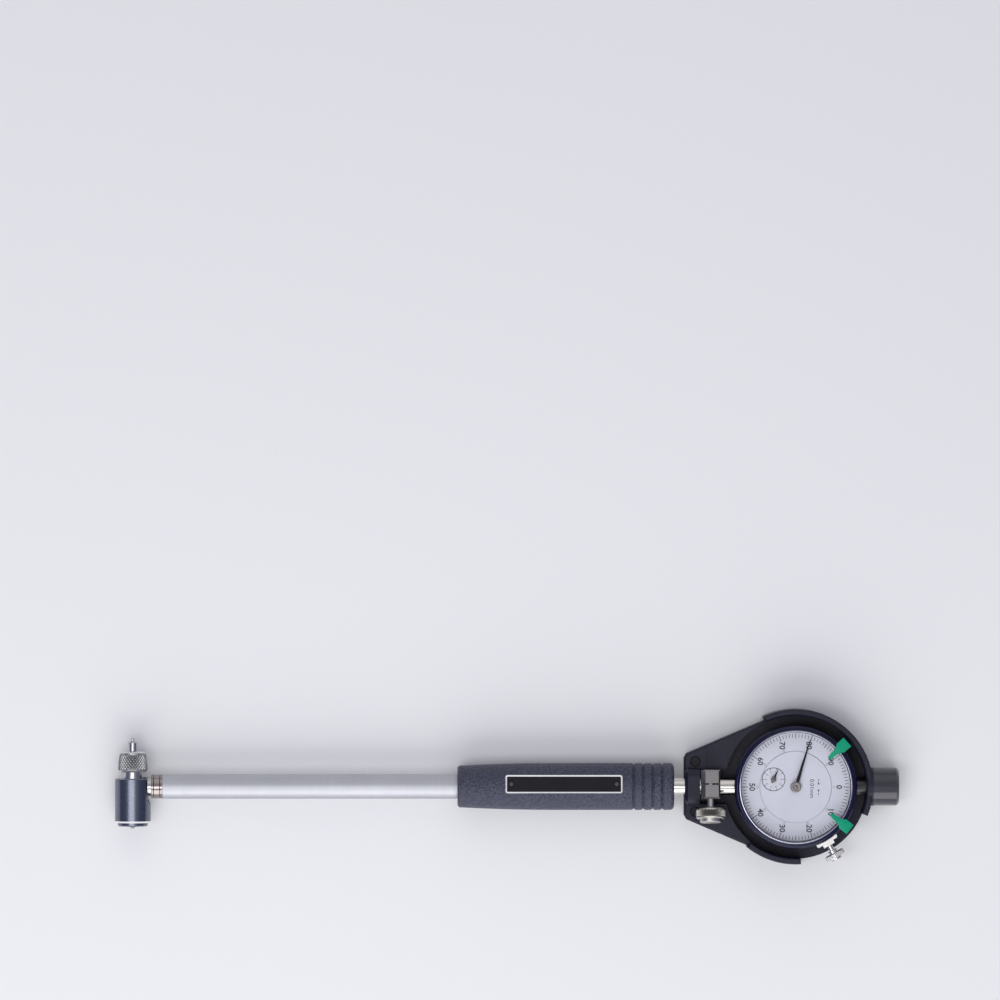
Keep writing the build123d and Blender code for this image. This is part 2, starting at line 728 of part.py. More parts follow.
with BuildPart() as stem_clamp:
    extrude(disc(rolled(CLAMP_START), CLAMP_HALF - 0.55), amount=CLAMP_LENGTH)
    extrude(
        outline(
            rolled(CLAMP_START),
            (-CLAMP_HALF, 2.0),
            (CLAMP_HALF, 2.0),
            (CLAMP_HALF, CLAMP_RISE - 0.8),
            (CLAMP_HALF - 0.8, CLAMP_RISE),
            (0.8 - CLAMP_HALF, CLAMP_RISE),
            (-CLAMP_HALF, CLAMP_RISE - 0.8),
        ),
        amount=CLAMP_LENGTH,
    )
    for side, bevel in ((0, CLAMP_BEVEL_SHAFT), (-1, CLAMP_BEVEL_STEM)):
        chamfer(stem_clamp.faces().sort_by(CLAMP_UP)[-1].edges().sort_by(Axis.X)[side], bevel)
    extrude(disc(across(CLAMP_START), SHAFT_R + PRESS), amount=SHAFT_END - CLAMP_START, mode=Mode.SUBTRACT)
    extrude(disc(across(CLAMP_START), STEM_R + PRESS), amount=CLAMP_LENGTH, mode=Mode.SUBTRACT)
    with BuildSketch(rolled(CLAMP_START)):
        with Locations((0, (CLAMP_RISE + 1) / 2)):
            Rectangle(0.8, CLAMP_RISE + 1)
    extrude(amount=CLAMP_LENGTH, mode=Mode.SUBTRACT)
    revolve(
        outline(
            CLAMP_SCREW,
            (-CLAMP_WIDTH, 0),
            (-CLAMP_WIDTH, CLAMP_SCREW_R + RUN),
            (CLAMP_WIDTH, CLAMP_SCREW_R + RUN),
            (CLAMP_WIDTH, 0),
        ),
        axis=CLAMP_SCREW_AXIS,
        mode=Mode.SUBTRACT,
    )
stem_clamp.part.label = "stem_clamp"

# Clamp screw: thumb screw through both ears
KNOB_R = KNOB_D / 2
KNOB_START = CLAMP_HALF + 4.6
KNOB_END = KNOB_START + KNOB_LENGTH
KNOB_CAP = KNOB_END + 1.8
with BuildPart() as clamp_screw:
    revolve(
        outline(
            CLAMP_SCREW,
            (0.4 - CLAMP_HALF, 0),
            (0.4 - CLAMP_HALF, CLAMP_SCREW_R),
            (KNOB_START - 1.2, CLAMP_SCREW_R),
            (KNOB_START - 1.2, CLAMP_SCREW_R + 0.9),
            (KNOB_START, KNOB_R - 0.8),
            (KNOB_START + 0.6, KNOB_R),
            (KNOB_END - 0.6, KNOB_R),
            (KNOB_END, KNOB_R - 0.6),
            (KNOB_END, KNOB_R - 1.9),
            (KNOB_CAP - 0.4, KNOB_R - 1.9),
            (KNOB_CAP, KNOB_R - 2.4),
            (KNOB_CAP, 0),
        ),
        axis=CLAMP_SCREW_AXIS,
    )
clamp_screw.part.label = "clamp_screw"

# Levels of the indicator above and below the gauge axis
BACK_THICK = 1.2
CASE_BOTTOM = BACK_THICK - CASE_DEPTH
BEZEL_BOTTOM = STEM_R + 0.4
CASE_TOP = BEZEL_BOTTOM + 1.8
MOVE_TOP = CASE_TOP - 0.3
MOVE_BOTTOM = CASE_TOP - 1.0
BRIDGE_BOTTOM = SPINDLE_R + 0.25
BRIDGE_TOP = BRIDGE_BOTTOM + 0.6
WHEEL_BOTTOM = BRIDGE_TOP + 0.3
WHEEL_TOP = WHEEL_BOTTOM + 0.5
HAIR_BOTTOM = WHEEL_TOP + 0.3
HAIR_TOP = HAIR_BOTTOM + 0.5
FLANGE_BOTTOM = CASE_TOP + 0.15
FACE_BOTTOM = FLANGE_BOTTOM + 0.85
FACE_TOP = FACE_BOTTOM + 0.6
COUNTER_HAND_LEVEL = FACE_TOP + 0.7
MAIN_HAND_LEVEL = COUNTER_HAND_LEVEL + 0.8
CRYSTAL_BOTTOM = BEZEL_TOP - 1.8
CASE_R = BEZEL_R - 2.2
CASE_IR = CASE_R - 2.3
FACE_R = BEZEL_R - 3.3

# Gear places: the two wheels stand on either side of the centre pinion
PINION_MODULE = RACK_PITCH / pi
PINION_R = PINION_MODULE * PINION_TEETH / 2
RACK_LINE = SPINDLE_R - RACK_DEPTH
COUNTER_X = -COUNTER_SHARE * FACE_R
COUNTER_Y = RACK_LINE + PINION_R
COUNTER = (COUNTER_X, COUNTER_Y)
TAKE_UP = (-COUNTER_X, -COUNTER_Y)
CENTRE_DISTANCE = hypot(COUNTER_X, COUNTER_Y)
MESH_ANGLE = degrees(atan2(-COUNTER_Y, -COUNTER_X))
WHEEL_MODULE = 2 * CENTRE_DISTANCE / (WHEEL_TEETH + CENTRE_TEETH)
WHEEL_R = WHEEL_MODULE * WHEEL_TEETH / 2
CENTRE_R = WHEEL_MODULE * CENTRE_TEETH / 2
ARBOR_R = 0.5
CENTRE_ARBOR_R = 0.55

# Stem: plain tube pressed into the case, bearing for the spindle
CAP_END = END_REACH - 4.0
with BuildPart() as stem:
    extrude(
        disc(across(STEM_START), STEM_R, SPINDLE_R + RUN),
        amount=DIAL_REACH - CASE_IR + 1.0 - STEM_START,
    )
stem.part.label = "stem"

# Spindle cap: closed tube on the far side of the case, room for the spindle's end
CAP_R = STEM_R + 0.1
with BuildPart() as spindle_cap:
    revolve(
        outline(
            GAUGE,
            (DIAL_REACH + CASE_IR - 1.0, SPINDLE_R + RUN),
            (DIAL_REACH + CASE_IR - 1.0, CAP_R),
            (CAP_END - 0.6, CAP_R),
            (CAP_END, CAP_R - 0.6),
            (CAP_END, 0),
            (CAP_END - 1.2, 0),
            (CAP_END - 1.2, SPINDLE_R + RUN),
        ),
        axis=GAUGE_AXIS,
    )
spindle_cap.part.label = "spindle_cap"

# Spindle: slides through stem and cap, its rack turns the counter pinion
SPINDLE_END = CAP_END - 1.2 - 9.0
POINT_R = 1.2
RACK_TEETH = 18
with BuildPart() as spindle:
    revolve(
        outline(
            GAUGE,
            (SPINDLE_START, POINT_R),
            (SPINDLE_START, SPINDLE_R),
            (SPINDLE_END - 0.4, SPINDLE_R),
            (SPINDLE_END, SPINDLE_R - 0.4),
            (SPINDLE_END, 0),
            (SPINDLE_START + 5.0, 0),
            (SPINDLE_START + 5.0, POINT_R),
        ),
        axis=GAUGE_AXIS,
    )
    tooth_tip = RACK_LINE + 0.8 * PINION_MODULE
    tooth_root = RACK_LINE - 1.2 * PINION_MODULE
    rack = [(COUNTER_X - 15 * RACK_PITCH, SPINDLE_R + 0.5)]
    for tooth in range(RACK_TEETH):
        middle = COUNTER_X + (tooth - 14.5) * RACK_PITCH
        rack.append((middle - 0.36 * RACK_PITCH, tooth_root))
        rack.append((middle - 0.10 * RACK_PITCH, tooth_tip))
        rack.append((middle + 0.10 * RACK_PITCH, tooth_tip))
        rack.append((middle + 0.36 * RACK_PITCH, tooth_root))
    rack.append((COUNTER_X + (RACK_TEETH - 15) * RACK_PITCH, SPINDLE_R + 0.5))
    extrude(outline(dial_level(-SPINDLE_D), *rack), amount=2 * SPINDLE_D, mode=Mode.SUBTRACT)
spindle.part.label = "spindle"

# Spindle point: round-nosed tip screwed into the spindle, met by the push rod
with BuildPart() as spindle_point:
    with BuildSketch(GAUGE):
        with BuildLine():
            Polyline(
                (SPINDLE_START - POINT_LENGTH, 0),
                (SPINDLE_START + 4.9, 0),
                (SPINDLE_START + 4.9, POINT_R - PRESS),
                (SPINDLE_START, POINT_R - PRESS),
                (SPINDLE_START, SPINDLE_R),
                (SPINDLE_START - 2.6, SPINDLE_R),
                (SPINDLE_START - 4.2, POINT_R),
                (SPINDLE_START - POINT_LENGTH + POINT_R, POINT_R),
            )
            TangentArc(
                (SPINDLE_START - POINT_LENGTH + POINT_R, POINT_R),
                (SPINDLE_START - POINT_LENGTH, 0),
                tangent=(-1, 0),
            )
        make_face()
    revolve(axis=GAUGE_AXIS)
spindle_point.part.label = "spindle_point"

# Indicator case: round wall with a ledge for the movement and bosses for the back
BOSS_PLACE = CASE_IR - 2.0
BACK_SCREW_R = 0.8
with BuildPart() as indicator_case:
    revolve(
        outline(
            DIAL,
            (CASE_IR, CASE_BOTTOM),
            (CASE_R - 0.4, CASE_BOTTOM),
            (CASE_R, CASE_BOTTOM + 0.4),
            (CASE_R, CASE_TOP),
            (CASE_IR, CASE_TOP),
            (CASE_IR, MOVE_BOTTOM),
            (CASE_IR - 1.2, MOVE_BOTTOM),
            (CASE_IR - 1.2, MOVE_BOTTOM - 1.0),
            (CASE_IR, MOVE_BOTTOM - 1.0),
        ),
        axis=DIAL_AXIS,
    )
    with BuildSketch(dial_level(CASE_BOTTOM)):
        with PolarLocations(BOSS_PLACE, 4, start_angle=45):
            Rectangle(5.0, 4.0)
    extrude(amount=3.5)
    with BuildSketch(dial_level(CASE_BOTTOM)):
        with PolarLocations(BOSS_PLACE - 0.3, 4, start_angle=45):
            Circle(BACK_SCREW_R)
    extrude(amount=2.5, mode=Mode.SUBTRACT)
    extrude(disc(across(DIAL_REACH - BEZEL_R), STEM_R + PRESS), amount=BEZEL_R, mode=Mode.SUBTRACT)
    extrude(disc(across(DIAL_REACH), CAP_R + PRESS), amount=BEZEL_R, mode=Mode.SUBTRACT)
indicator_case.part.label = "indicator_case"

# Case back: plate with a bearing boss for the counter arbor
with BuildPart() as case_back:
    revolve(
        outline(
            DIAL,
            (0, -CASE_DEPTH),
            (CASE_R - 1.0, -CASE_DEPTH),
            (CASE_R - 0.6, CASE_BOTTOM - 0.6),
            (CASE_R - 0.6, CASE_BOTTOM),
            (0, CASE_BOTTOM),
        ),
        axis=DIAL_AXIS,
    )
    extrude(disc(dial_level(CASE_BOTTOM, COUNTER), 1.6), amount=1.2)
    extrude(disc(dial_level(CASE_BOTTOM, COUNTER), ARBOR_R + RUN), amount=1.2, mode=Mode.SUBTRACT)
    with BuildSketch(dial_level(-CASE_DEPTH)):
        with PolarLocations(BOSS_PLACE - 0.3, 4, start_angle=45):
            Circle(2 * BACK_SCREW_R)
    extrude(amount=0.6, mode=Mode.SUBTRACT)
    with BuildSketch(dial_level(-CASE_DEPTH)):
        with PolarLocations(BOSS_PLACE - 0.3, 4, start_angle=45):
            Circle(BACK_SCREW_R)
    extrude(amount=BACK_THICK, mode=Mode.SUBTRACT)
case_back.part.label = "case_back"

# Back screws: four, heads sunk into the case back
with BuildPart() as back_screws:
    with BuildSketch(dial_level(-CASE_DEPTH)):
        with PolarLocations(BOSS_PLACE - 0.3, 4, start_angle=45):
            Circle(2 * BACK_SCREW_R - PRESS)
    extrude(amount=0.6)
    with BuildSketch(dial_level(-CASE_DEPTH)):
        with PolarLocations(BOSS_PLACE - 0.3, 4, start_angle=45):
            Circle(BACK_SCREW_R - PRESS)
    extrude(amount=BACK_THICK + 2.4)
back_screws.part.label = "back_screws"

# Movement plate: front bearing plate on the case's ledge
with BuildPart() as movement_plate:
    extrude(
        disc(dial_level(MOVE_BOTTOM), CASE_IR - PRESS, CENTRE_ARBOR_R + RUN),
        amount=MOVE_TOP - MOVE_BOTTOM,
    )
    extrude(disc(dial_level(MOVE_BOTTOM, COUNTER), ARBOR_R + RUN), amount=1.0, mode=Mode.SUBTRACT)
    extrude(disc(dial_level(MOVE_BOTTOM, TAKE_UP), ARBOR_R + RUN), amount=1.0, mode=Mode.SUBTRACT)
movement_plate.part.label = "movement_plate"

# Movement bridge: rear bearing plate hung from the movement plate on two pillars
PILLAR = (0.55 * COUNTER_Y, -0.55 * COUNTER_X)
with BuildPart() as movement_bridge:
    extrude(
        wrapped(
            dial_level(BRIDGE_BOTTOM),
            (COUNTER[0], COUNTER[1], 2.2),
            (TAKE_UP[0], TAKE_UP[1], 2.2),
            (PILLAR[0], PILLAR[1], 1.8),
            (-PILLAR[0], -PILLAR[1], 1.8),
        ),
        amount=BRIDGE_TOP - BRIDGE_BOTTOM,
    )
    extrude(disc(dial_level(BRIDGE_TOP, PILLAR), 1.2), amount=MOVE_BOTTOM - BRIDGE_TOP)
    extrude(disc(dial_level(BRIDGE_TOP, (-PILLAR[0], -PILLAR[1])), 1.2), amount=MOVE_BOTTOM - BRIDGE_TOP)
    extrude(disc(dial_level(BRIDGE_BOTTOM), CENTRE_ARBOR_R + RUN), amount=1.0, mode=Mode.SUBTRACT)
    extrude(disc(dial_level(BRIDGE_BOTTOM, COUNTER), ARBOR_R + RUN), amount=1.0, mode=Mode.SUBTRACT)
    extrude(disc(dial_level(BRIDGE_BOTTOM, TAKE_UP), ARBOR_R + RUN), amount=1.0, mode=Mode.SUBTRACT)
movement_bridge.part.label = "movement_bridge"

# Centre arbor: fine pinion that carries the main hand
with BuildPart() as centre_arbor:
    extrude(disc(dial_level(BRIDGE_BOTTOM), CENTRE_ARBOR_R), amount=MAIN_HAND_LEVEL + 0.7 - BRIDGE_BOTTOM)
    extrude(
        toothed(
            dial_level(WHEEL_BOTTOM - 0.15),
            CENTRE_TEETH,
            CENTRE_R,
            0.38,
            0.75 * WHEEL_MODULE,
            1.2 * WHEEL_MODULE,
            MESH_ANGLE + 180 + 180 / CENTRE_TEETH,
        ),
        amount=0.8,
    )
centre_arbor.part.label = "centre_arbor"

# Counter arbor: pinion on the rack and wheel on the centre pinion, carries the counter hand
with BuildPart() as counter_arbor:
    extrude(
        disc(dial_level(CASE_BOTTOM + 0.1, COUNTER), ARBOR_R),
        amount=COUNTER_HAND_LEVEL + 0.4 - CASE_BOTTOM - 0.1,
    )
    extrude(
        toothed(
            dial_level(-1.4, COUNTER),
            PINION_TEETH,
            PINION_R,
            0.40,
            0.75 * PINION_MODULE,
            1.2 * PINION_MODULE,
            -90,
        ),
        amount=1.4 + BRIDGE_BOTTOM - 0.3,
    )
    extrude(
        saw_toothed(
            dial_level(WHEEL_BOTTOM, COUNTER),
            WHEEL_TEETH,
            WHEEL_R + 0.7 * WHEEL_MODULE,
            WHEEL_R - 1.3 * WHEEL_MODULE,
            MESH_ANGLE,
        ),
        amount=WHEEL_TOP - WHEEL_BOTTOM,
    )
counter_arbor.part.label = "counter_arbor"

# Take-up wheel: second wheel on the centre pinion, loaded by the hairspring
with BuildPart() as take_up_wheel:
    extrude(disc(dial_level(BRIDGE_BOTTOM, TAKE_UP), ARBOR_R), amount=MOVE_TOP - BRIDGE_BOTTOM)
    extrude(
        saw_toothed(
            dial_level(WHEEL_BOTTOM, TAKE_UP),
            WHEEL_TEETH,
            WHEEL_R + 0.7 * WHEEL_MODULE,
            WHEEL_R - 1.3 * WHEEL_MODULE,
            MESH_ANGLE + 180,
        ),
        amount=WHEEL_TOP - WHEEL_BOTTOM,
    )
take_up_wheel.part.label = "take_up_wheel"

# Hairspring: flat spiral from the take-up arbor to a stud under the movement plate
HAIR_TURNS = 4
HAIR_STEP = 1.2
with BuildPart() as hairspring:
    with BuildSketch(dial_level(HAIR_BOTTOM, TAKE_UP)):
        with BuildLine():
            radius = ARBOR_R + 0.15
            start = (radius, 0)
            for half in range(2 * HAIR_TURNS):
                side = 1 if half % 2 == 0 else -1
                end = (start[0] - side * (2 * radius + HAIR_STEP / 2), 0)
                top = ((start[0] + end[0]) / 2, side * (radius + HAIR_STEP / 4))
                ThreePointArc(start, top, end)
                start = end
                radius = radius + HAIR_STEP / 2
        trace(line_width=0.16)
    extrude(amount=HAIR_TOP - HAIR_BOTTOM)
    with BuildSketch(dial_level(HAIR_BOTTOM, TAKE_UP)):
        with Locations(start):
            Circle(0.4)
    extrude(amount=MOVE_BOTTOM - HAIR_BOTTOM)
hairspring.part.label = "hairspring"

# Dial centre: fixed disc on the movement plate
STEP_R = STEP_SHARE * FACE_R
with BuildPart() as dial_centre:
    revolve(
        outline(
            DIAL,
            (CENTRE_ARBOR_R + 0.3, MOVE_TOP),
            (STEP_R - 3.0, MOVE_TOP),
            (STEP_R - 3.0, FACE_BOTTOM + 0.1),
            (STEP_R, FACE_BOTTOM + 0.1),
            (STEP_R, FACE_TOP + 0.1),
            (STEP_R - 0.2, FACE_TOP + 0.2),
            (CENTRE_ARBOR_R + 0.3, FACE_TOP + 0.2),
        ),
        axis=DIAL_AXIS,
    )
    extrude(disc(dial_level(MOVE_TOP, COUNTER), ARBOR_R + 0.2), amount=3.0, mode=Mode.SUBTRACT)
dial_centre.part.label = "dial_centre"

# Scale ring: turns with the bezel round the dial centre
with BuildPart() as scale_ring:
    extrude(disc(dial_level(FACE_BOTTOM), FACE_R + 0.35, STEP_R + 0.15), amount=FACE_TOP - FACE_BOTTOM)
scale_ring.part.label = "scale_ring"

# Bezel: turning rim that holds the scale ring and the crystal
with BuildPart() as bezel:
    revolve(
        outline(
            DIAL,
            (CASE_R + 0.15, BEZEL_BOTTOM),
            (BEZEL_R - 0.4, BEZEL_BOTTOM),
            (BEZEL_R, BEZEL_BOTTOM + 0.4),
            (BEZEL_R, BEZEL_TOP - 1.6),
            (BEZEL_R - 1.2, BEZEL_TOP),
            (FACE_R + 0.7, BEZEL_TOP),
            (FACE_R + 0.7, CRYSTAL_BOTTOM),
            (FACE_R, CRYSTAL_BOTTOM),
            (FACE_R, CRYSTAL_BOTTOM - 0.5),
            (FACE_R + 0.4, CRYSTAL_BOTTOM - 0.5),
            (FACE_R + 0.4, FACE_BOTTOM),
            (CASE_IR + 0.4, FACE_BOTTOM),
            (CASE_IR + 0.4, FLANGE_BOTTOM),
            (CASE_R + 0.15, FLANGE_BOTTOM),
        ),
        axis=DIAL_AXIS,
    )
bezel.part.label = "bezel"

# Crystal: clear cover pressed into the bezel
CRYSTAL_TOP = BEZEL_TOP + 0.2
with BuildPart() as crystal:
    revolve(
        outline(
            DIAL,
            (0, CRYSTAL_BOTTOM),
            (FACE_R + 0.7 - PRESS, CRYSTAL_BOTTOM),
            (FACE_R + 0.7 - PRESS, BEZEL_TOP),
            (FACE_R, CRYSTAL_TOP),
            (0, CRYSTAL_TOP),
        ),
        axis=DIAL_AXIS,
    )
crystal.part.label = "crystal"

# Main hand: one turn for each millimetre
HAND_ANGLE = -360 * HAND_READING
HAND_LENGTH = FACE_R - HAND_SHORT
HAND_HUB_R = 2.4
with BuildPart() as main_hand:
    extrude(
        outline(
            dial_level(MAIN_HAND_LEVEL, angle=HAND_ANGLE),
            (0, -0.85),
            (0.6 * HAND_LENGTH, -0.5),
            (HAND_LENGTH, -0.12),
            (HAND_LENGTH, 0.12),
            (0.6 * HAND_LENGTH, 0.5),
            (0, 0.85),
        ),
        amount=0.25,
    )
    extrude(disc(dial_level(MAIN_HAND_LEVEL), HAND_HUB_R), amount=0.7)
    extrude(disc(dial_level(MAIN_HAND_LEVEL), CENTRE_ARBOR_R + PRESS), amount=0.7, mode=Mode.SUBTRACT)
main_hand.part.label = "main_hand"

# Counter hand: counts the main hand's turns
COUNTER_ANGLE = 360 * HAND_READING * CENTRE_TEETH / WHEEL_TEETH
COUNTER_HUB_R = 1.25
COUNTER_TAIL = COUNTER_HUB_R + 0.5
with BuildPart() as counter_hand:
    extrude(
        outline(
            dial_level(COUNTER_HAND_LEVEL, COUNTER, COUNTER_ANGLE),
            (-COUNTER_TAIL, -0.35),
            (0, -0.55),
            (COUNTER_HAND_LENGTH, -0.12),
            (COUNTER_HAND_LENGTH, 0.12),
            (0, 0.55),
            (-COUNTER_TAIL, 0.35),
        ),
        amount=0.2,
    )
    extrude(disc(dial_level(COUNTER_HAND_LEVEL, COUNTER), COUNTER_HUB_R), amount=0.35)
    extrude(disc(dial_level(COUNTER_HAND_LEVEL, COUNTER), ARBOR_R + PRESS), amount=0.35, mode=Mode.SUBTRACT)
counter_hand.part.label = "counter_hand"

# Limit markers: clips on the bezel, each with a pointer over the scale and a finger tab
MARKER_BOTTOM = BEZEL_TOP - 3.9
MARKER_PLATE = CRYSTAL_TOP + 0.15
MARKER_R = BEZEL_R + MARKER_TAB
MARKER_HALF = 2.7
POINTER_TIP = FACE_R - 5.0
POINTER_ROOT = BEZEL_R - 2.4
POINTER_SHOULDER = BEZEL_R - 1.2
MARKER_POINTER = (
    (POINTER_TIP, -0.85),
    (POINTER_ROOT, -1.6),
    (POINTER_SHOULDER, -MARKER_HALF),
    (MARKER_R, -MARKER_HALF),
    (MARKER_R, MARKER_HALF),
    (POINTER_SHOULDER, MARKER_HALF),
    (POINTER_ROOT, 1.6),
    (POINTER_TIP, 0.85),
)
MARKER_TAB_FACE = (
    (BEZEL_R - 0.4, -MARKER_HALF),
    (MARKER_R, -MARKER_HALF),
    (MARKER_R, MARKER_HALF),
    (BEZEL_R - 0.4, MARKER_HALF),
)
with BuildPart() as limit_marker_a:
    extrude(
        outline(dial_level(MARKER_BOTTOM, angle=MARKER_ANGLE_A), *MARKER_TAB_FACE),
        amount=MARKER_PLATE - MARKER_BOTTOM,
    )
    extrude(
        disc(dial_level(MARKER_BOTTOM), BEZEL_R + 0.15),
        amount=MARKER_PLATE - MARKER_BOTTOM,
        mode=Mode.SUBTRACT,
    )
    extrude(outline(dial_level(MARKER_PLATE, angle=MARKER_ANGLE_A), *MARKER_POINTER), amount=0.8)
limit_marker_a.part.label = "limit_marker_a"

with BuildPart() as limit_marker_b:
    extrude(
        outline(dial_level(MARKER_BOTTOM, angle=MARKER_ANGLE_B), *MARKER_TAB_FACE),
        amount=MARKER_PLATE - MARKER_BOTTOM,
    )
    extrude(
        disc(dial_level(MARKER_BOTTOM), BEZEL_R + 0.15),
        amount=MARKER_PLATE - MARKER_BOTTOM,
        mode=Mode.SUBTRACT,
    )
    extrude(outline(dial_level(MARKER_PLATE, angle=MARKER_ANGLE_B), *MARKER_POINTER), amount=0.8)
limit_marker_b.part.label = "limit_marker_b"

# Bezel clamp shoe: bracket on the case that holds the clamp screw beside the bezel
SHOE_TOP = MARKER_BOTTOM - 1.0
SHOE_BOTTOM = BEZEL_BOTTOM - 2.8
SHOE_R = BEZEL_R + 2.9
SHOE_LUG_R = SHOE_R - 1.5
SHOE_HALF = 5.3
SHOE_BOSS_HALF = 2.8
BEZEL_SCREW_LEVEL = (SHOE_TOP + BEZEL_BOTTOM - 0.3) / 2
BEZEL_SCREW_R = 1.3
TURN = radians(BEZEL_CLAMP_ANGLE)
BEZEL_SCREW_DIR = (cos(TURN), sin(TURN), 0)
BEZEL_SCREW_ORIGIN = (DIAL_X, 0, AXIS_Z + BEZEL_SCREW_LEVEL)
BEZEL_SCREW = Plane(origin=BEZEL_SCREW_ORIGIN, x_dir=BEZEL_SCREW_DIR, z_dir=(sin(TURN), -cos(TURN), 0))
BEZEL_SCREW_AXIS = Axis(BEZEL_SCREW_ORIGIN, BEZEL_SCREW_DIR)
with BuildPart() as bezel_clamp_shoe:
    extrude(
        outline(
            dial_level(SHOE_BOTTOM, angle=BEZEL_CLAMP_ANGLE),
            (CASE_IR, -SHOE_HALF),
            (SHOE_LUG_R - 0.6, -SHOE_HALF),
            (SHOE_LUG_R, 0.6 - SHOE_HALF),
            (SHOE_LUG_R, -SHOE_BOSS_HALF),
            (SHOE_R, -SHOE_BOSS_HALF),
            (SHOE_R, SHOE_BOSS_HALF),
            (SHOE_LUG_R, SHOE_BOSS_HALF),
            (SHOE_LUG_R, SHOE_HALF - 0.6),
            (SHOE_LUG_R - 0.6, SHOE_HALF),
            (CASE_IR, SHOE_HALF),
        ),
        amount=SHOE_TOP - SHOE_BOTTOM,
    )
    extrude(disc(dial_level(SHOE_BOTTOM), CASE_R + PRESS), amount=SHOE_TOP - SHOE_BOTTOM, mode=Mode.SUBTRACT)
    extrude(
        disc(dial_level(BEZEL_BOTTOM - PART_GAP), BEZEL_R + PART_GAP),
        amount=SHOE_TOP - SHOE_BOTTOM,
        mode=Mode.SUBTRACT,
    )
    revolve(
        outline(
            BEZEL_SCREW,
            (CASE_R, 0),
            (CASE_R, BEZEL_SCREW_R + RUN),
            (RIM_R, BEZEL_SCREW_R + RUN),
            (RIM_R, 0),
        ),
        axis=BEZEL_SCREW_AXIS,
        mode=Mode.SUBTRACT,
    )
bezel_clamp_shoe.part.label = "bezel_clamp_shoe"

# Bezel clamp screw: knurled screw that bears on the bezel's rim
BEZEL_KNOB_R = 4.8
BEZEL_KNOB_START = RIM_R - 0.6
BEZEL_KNOB_END = BEZEL_KNOB_START + 2.4
BEZEL_HUB_R = 2.7
BEZEL_HUB_END = BEZEL_KNOB_END + 1.1
with BuildPart() as bezel_clamp_screw:
    revolve(
        outline(
            BEZEL_SCREW,
            (BEZEL_R + RUN, 0),
            (BEZEL_R + RUN, BEZEL_SCREW_R),
            (BEZEL_KNOB_START - 1.4, BEZEL_SCREW_R),
            (BEZEL_KNOB_START - 1.4, BEZEL_SCREW_R + 1.0),
            (BEZEL_KNOB_START, BEZEL_SCREW_R + 1.0),
            (BEZEL_KNOB_START, BEZEL_KNOB_R - 0.4),
            (BEZEL_KNOB_START + 0.4, BEZEL_KNOB_R),
            (BEZEL_KNOB_END - 0.4, BEZEL_KNOB_R),
            (BEZEL_KNOB_END, BEZEL_KNOB_R - 0.4),
            (BEZEL_KNOB_END, BEZEL_HUB_R),
            (BEZEL_HUB_END - 0.4, BEZEL_HUB_R),
            (BEZEL_HUB_END, BEZEL_HUB_R - 0.4),
            (BEZEL_HUB_END, 0),
        ),
        axis=BEZEL_SCREW_AXIS,
    )
bezel_clamp_screw.part.label = "bezel_clamp_screw"

# Guard levels and the outline that guard and cap share
GUARD_FLOOR = -(CASE_DEPTH + 0.4)
GUARD_BACK = -AXIS_Z
GUARD_TOP = GUARD_STEP
CAP_SPLIT = -3.0
WINDOW_HALF = WINDOW_WIDTH / 2
WINDOW_START = ARCH_LENGTH - GUARD_NECK
CAP_EDGE = CAP_LENGTH - GUARD_NECK
MOUTH_HALF = GUARD_MOUTH / 2
CAP_SCREWS = ((5.3 - GUARD_NECK, MOUTH_HALF - 1.7), (5.3 - GUARD_NECK, 1.7 - MOUTH_HALF))
CAP_SCREW_R = 1.1


def guard_face(plane):
    """Plan of the guard: the cup's circle drawn out to the mouth at the shaft."""
    with BuildSketch(plane) as face:
        with BuildLine():
            CenterArc((0, 0), RECESS_R + 1.0, 0, 360)
            Polyline(
                (-GUARD_NECK, -MOUTH_HALF),
                (-GUARD_NECK, MOUTH_HALF),
                (1.1 - GUARD_NECK, MOUTH_HALF + 2.0),
                (1.1 - GUARD_NECK, -MOUTH_HALF - 2.0),
                close=True,
            )
        make_hull()
    return face.sketch


